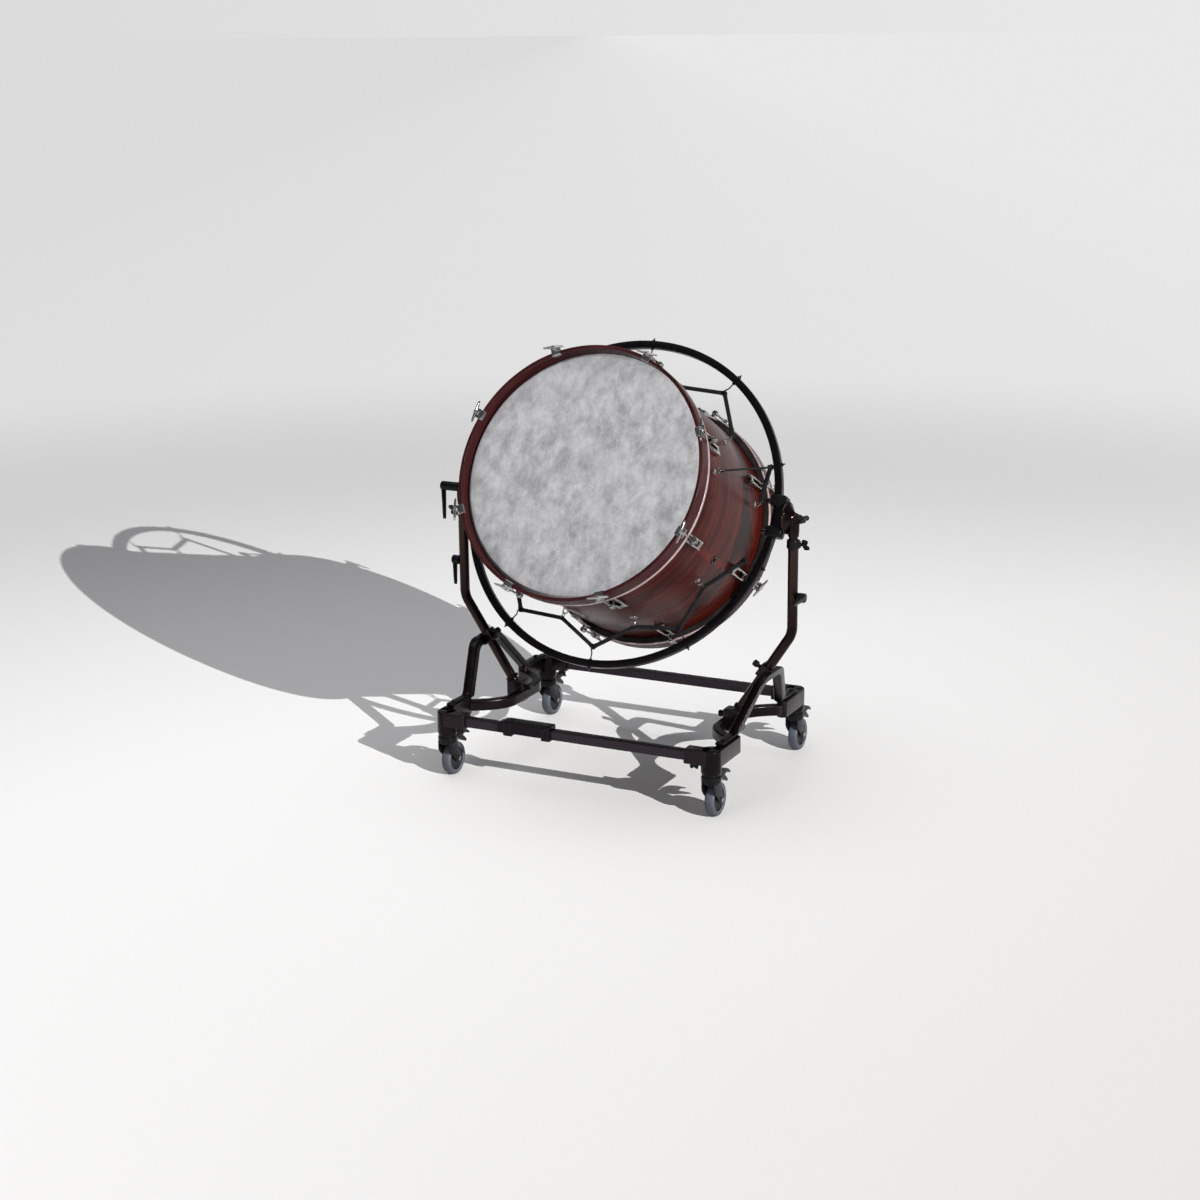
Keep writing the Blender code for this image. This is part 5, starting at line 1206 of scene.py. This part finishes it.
def make_rail_cover():
    """A pad over the front rail, held by two saddles."""
    low, high, bottom, top, saddle_half = -0.2455, -0.0710, 0.1735, 0.210, 0.0135
    outer = RAIL_WIDTH / 2 + 0.0003 + 0.0065
    front, back = -RAIL_Y - outer, -RAIL_Y + outer
    profile = [(bottom, low, 0.002), (0.203, low, 0.002), (top, low + 0.022, 0.006), (top, high, 0.003),
               (bottom, high, 0.002)]
    shapes = [prism(cornered(profile, 4), front, back, ALONG_Y, 0.0016)]
    saddle = filleted([(front - 0.0012, 0.1655), (back, 0.1655), (back, 0.208), (back - 0.006, 0.2108),
                       (front + 0.005, 0.2108), (front - 0.0012, 0.206)], 0.003, 4)
    for x in (-0.211, -0.085):
        shapes.append(prism(saddle, x - saddle_half, x + saddle_half, ALONG_X, 0.0014))
        shapes.append(bar((x, front, 0.186), (x, front - 0.0028, 0.186), 0.0048))
    done(joined(shapes), "rail_cover_shell", RAIL_PAINT, "base", ("rail_cover",), CAST_ANGLE,
         STAND)


def fork():
    """Swivel hood with a bearing groove, the stem and two arms."""
    hood = turned([(0, 0.1357, 0), (0.0270, 0.1357, 0.001), (0.0270, 0.1315, 0.0006),
                   (0.0245, 0.1305, 0.0006), (0.0245, 0.1285, 0.0006), (0.0290, 0.1275, 0.001),
                   (0.0290, 0.1120, 0.003), (0.0262, FORK_TOP, 0.002), (0, FORK_TOP, 0)], 56, 4)
    shapes = [hood, bar((0, 0, 0.134), (0, 0, 0.1750), 0.006)]
    y, z, boss, edge = WHEEL_TRAIL, WHEEL_RADIUS, 0.011, 0.029 * 0.85
    outline = cornered([(-edge, FORK_TOP + boss, 0.003), (-edge, FORK_TOP - 0.020, 0.010),
                        (y - boss, z - boss * 0.4, 0.005), (y - boss * 0.4, z - boss, 0.005),
                        (y + boss * 0.4, z - boss, 0.005), (y + boss, z - boss * 0.4, 0.005),
                        (y + boss, z + boss * 0.6, 0.006), (edge, FORK_TOP, 0.008),
                        (edge, FORK_TOP + boss, 0.003)], 5)
    for side in (-1, 1):
        low, high = sorted((side * FORK_INNER, side * FORK_OUTER))
        shapes.append(prism(outline, low, high, ALONG_X, 0.0011))
    return joined(shapes)


def axle():
    y, z = WHEEL_TRAIL, WHEEL_RADIUS
    shapes = [bar((-FORK_OUTER, y, z), (FORK_OUTER, y, z), 0.0040)]
    for side in (-1, 1):
        shapes.append(bar((side * FORK_OUTER, y, z), (side * (FORK_OUTER + 0.003), y, z), 0.0075, sides=6))
    return joined(shapes)


def make_casters():
    """Hood, wheel and foot pedal of each caster, on their own bodies."""
    tyre = turned(both_ways([(0.0360, 0.0120, 0), (0.0440, 0.01475, 0.0015), (0.0478, 0.0130, 0.003),
                             (WHEEL_RADIUS, 0.0085, 0.003)]), 96, 4, closed=True)
    disc = turned(both_ways([(radius, height, 0.0012) for radius, height in (
        (0.0043, 0.0115), (0.0105, 0.0115), (0.0115, 0.0085), (0.0210, 0.0060), (0.0330, 0.0085),
        (0.0345, 0.0120), (0.0365, 0.0120))]), 64, closed=True)
    pedal = prism(cornered([
        (-0.0055, -0.0040, 0.003), (-0.0055, 0.0080, 0.004), (0.0230, 0.0100, 0.008),
        (0.0530, 0.0030, 0.008), (0.0710, -0.0100, 0.002), (0.0680, -0.0155, 0.002),
        (0.0500, -0.0070, 0.008), (0.0300, -0.0085, 0.003), (0.0520, -0.0280, 0.002),
        (0.0490, -0.0355, 0.002), (0.0240, -0.0215, 0.006), (0.0080, -0.0130, 0.005)], 5),
        -0.014, 0.014, ALONG_X, 0.0018)
    wheel_place = at(0, WHEEL_TRAIL, WHEEL_RADIUS)
    pedal_place = at(0, PEDAL_PIVOT_Y, PEDAL_PIVOT_Z)
    pieces = ((fork(), ALONG_Z, "caster_hood_", BLACK_METAL, "caster_", "black_metal", "caster_fork_"),
              (axle(), ALONG_Z, "caster_axle_", WIRE_STEEL, "caster_", "black_metal", "caster_fork_"),
              (moved(tyre, TO_RIGHT), wheel_place, "caster_tyre_", TYRE_RUBBER, "wheel_", "tyre_rubber",
               "caster_wheel_"),
              (moved(disc, TO_RIGHT), wheel_place, "caster_disc_", HUB_PLASTIC, "wheel_", "tyre_rubber",
               "caster_wheel_"),
              (pedal, pedal_place, "foot_pedal_", BLACK_METAL, "pedal_", "black_metal", "brake_pedal_"))
    for name, x_side, y_side in CORNERS:
        swivel = STAND @ at(x_side * COLUMN_X, y_side * COLUMN_Y, 0)
        for source, place, word, material, body, slot, node_word in pieces:
            done(twin(source), word + name, material, body + name, (node_word + name,), CAST_ANGLE,
                 swivel @ place)
    for piece in pieces:
        bpy.data.objects.remove(piece[0])


add_camera()
add_studio()
make_shell()
make_heads()
make_hoops()
make_rods()
make_lugs()
make_eyelets()
make_straps()
make_ring()
make_uprights()
make_levers()
make_base()
make_rail_cover()
make_casters()
spare_head()
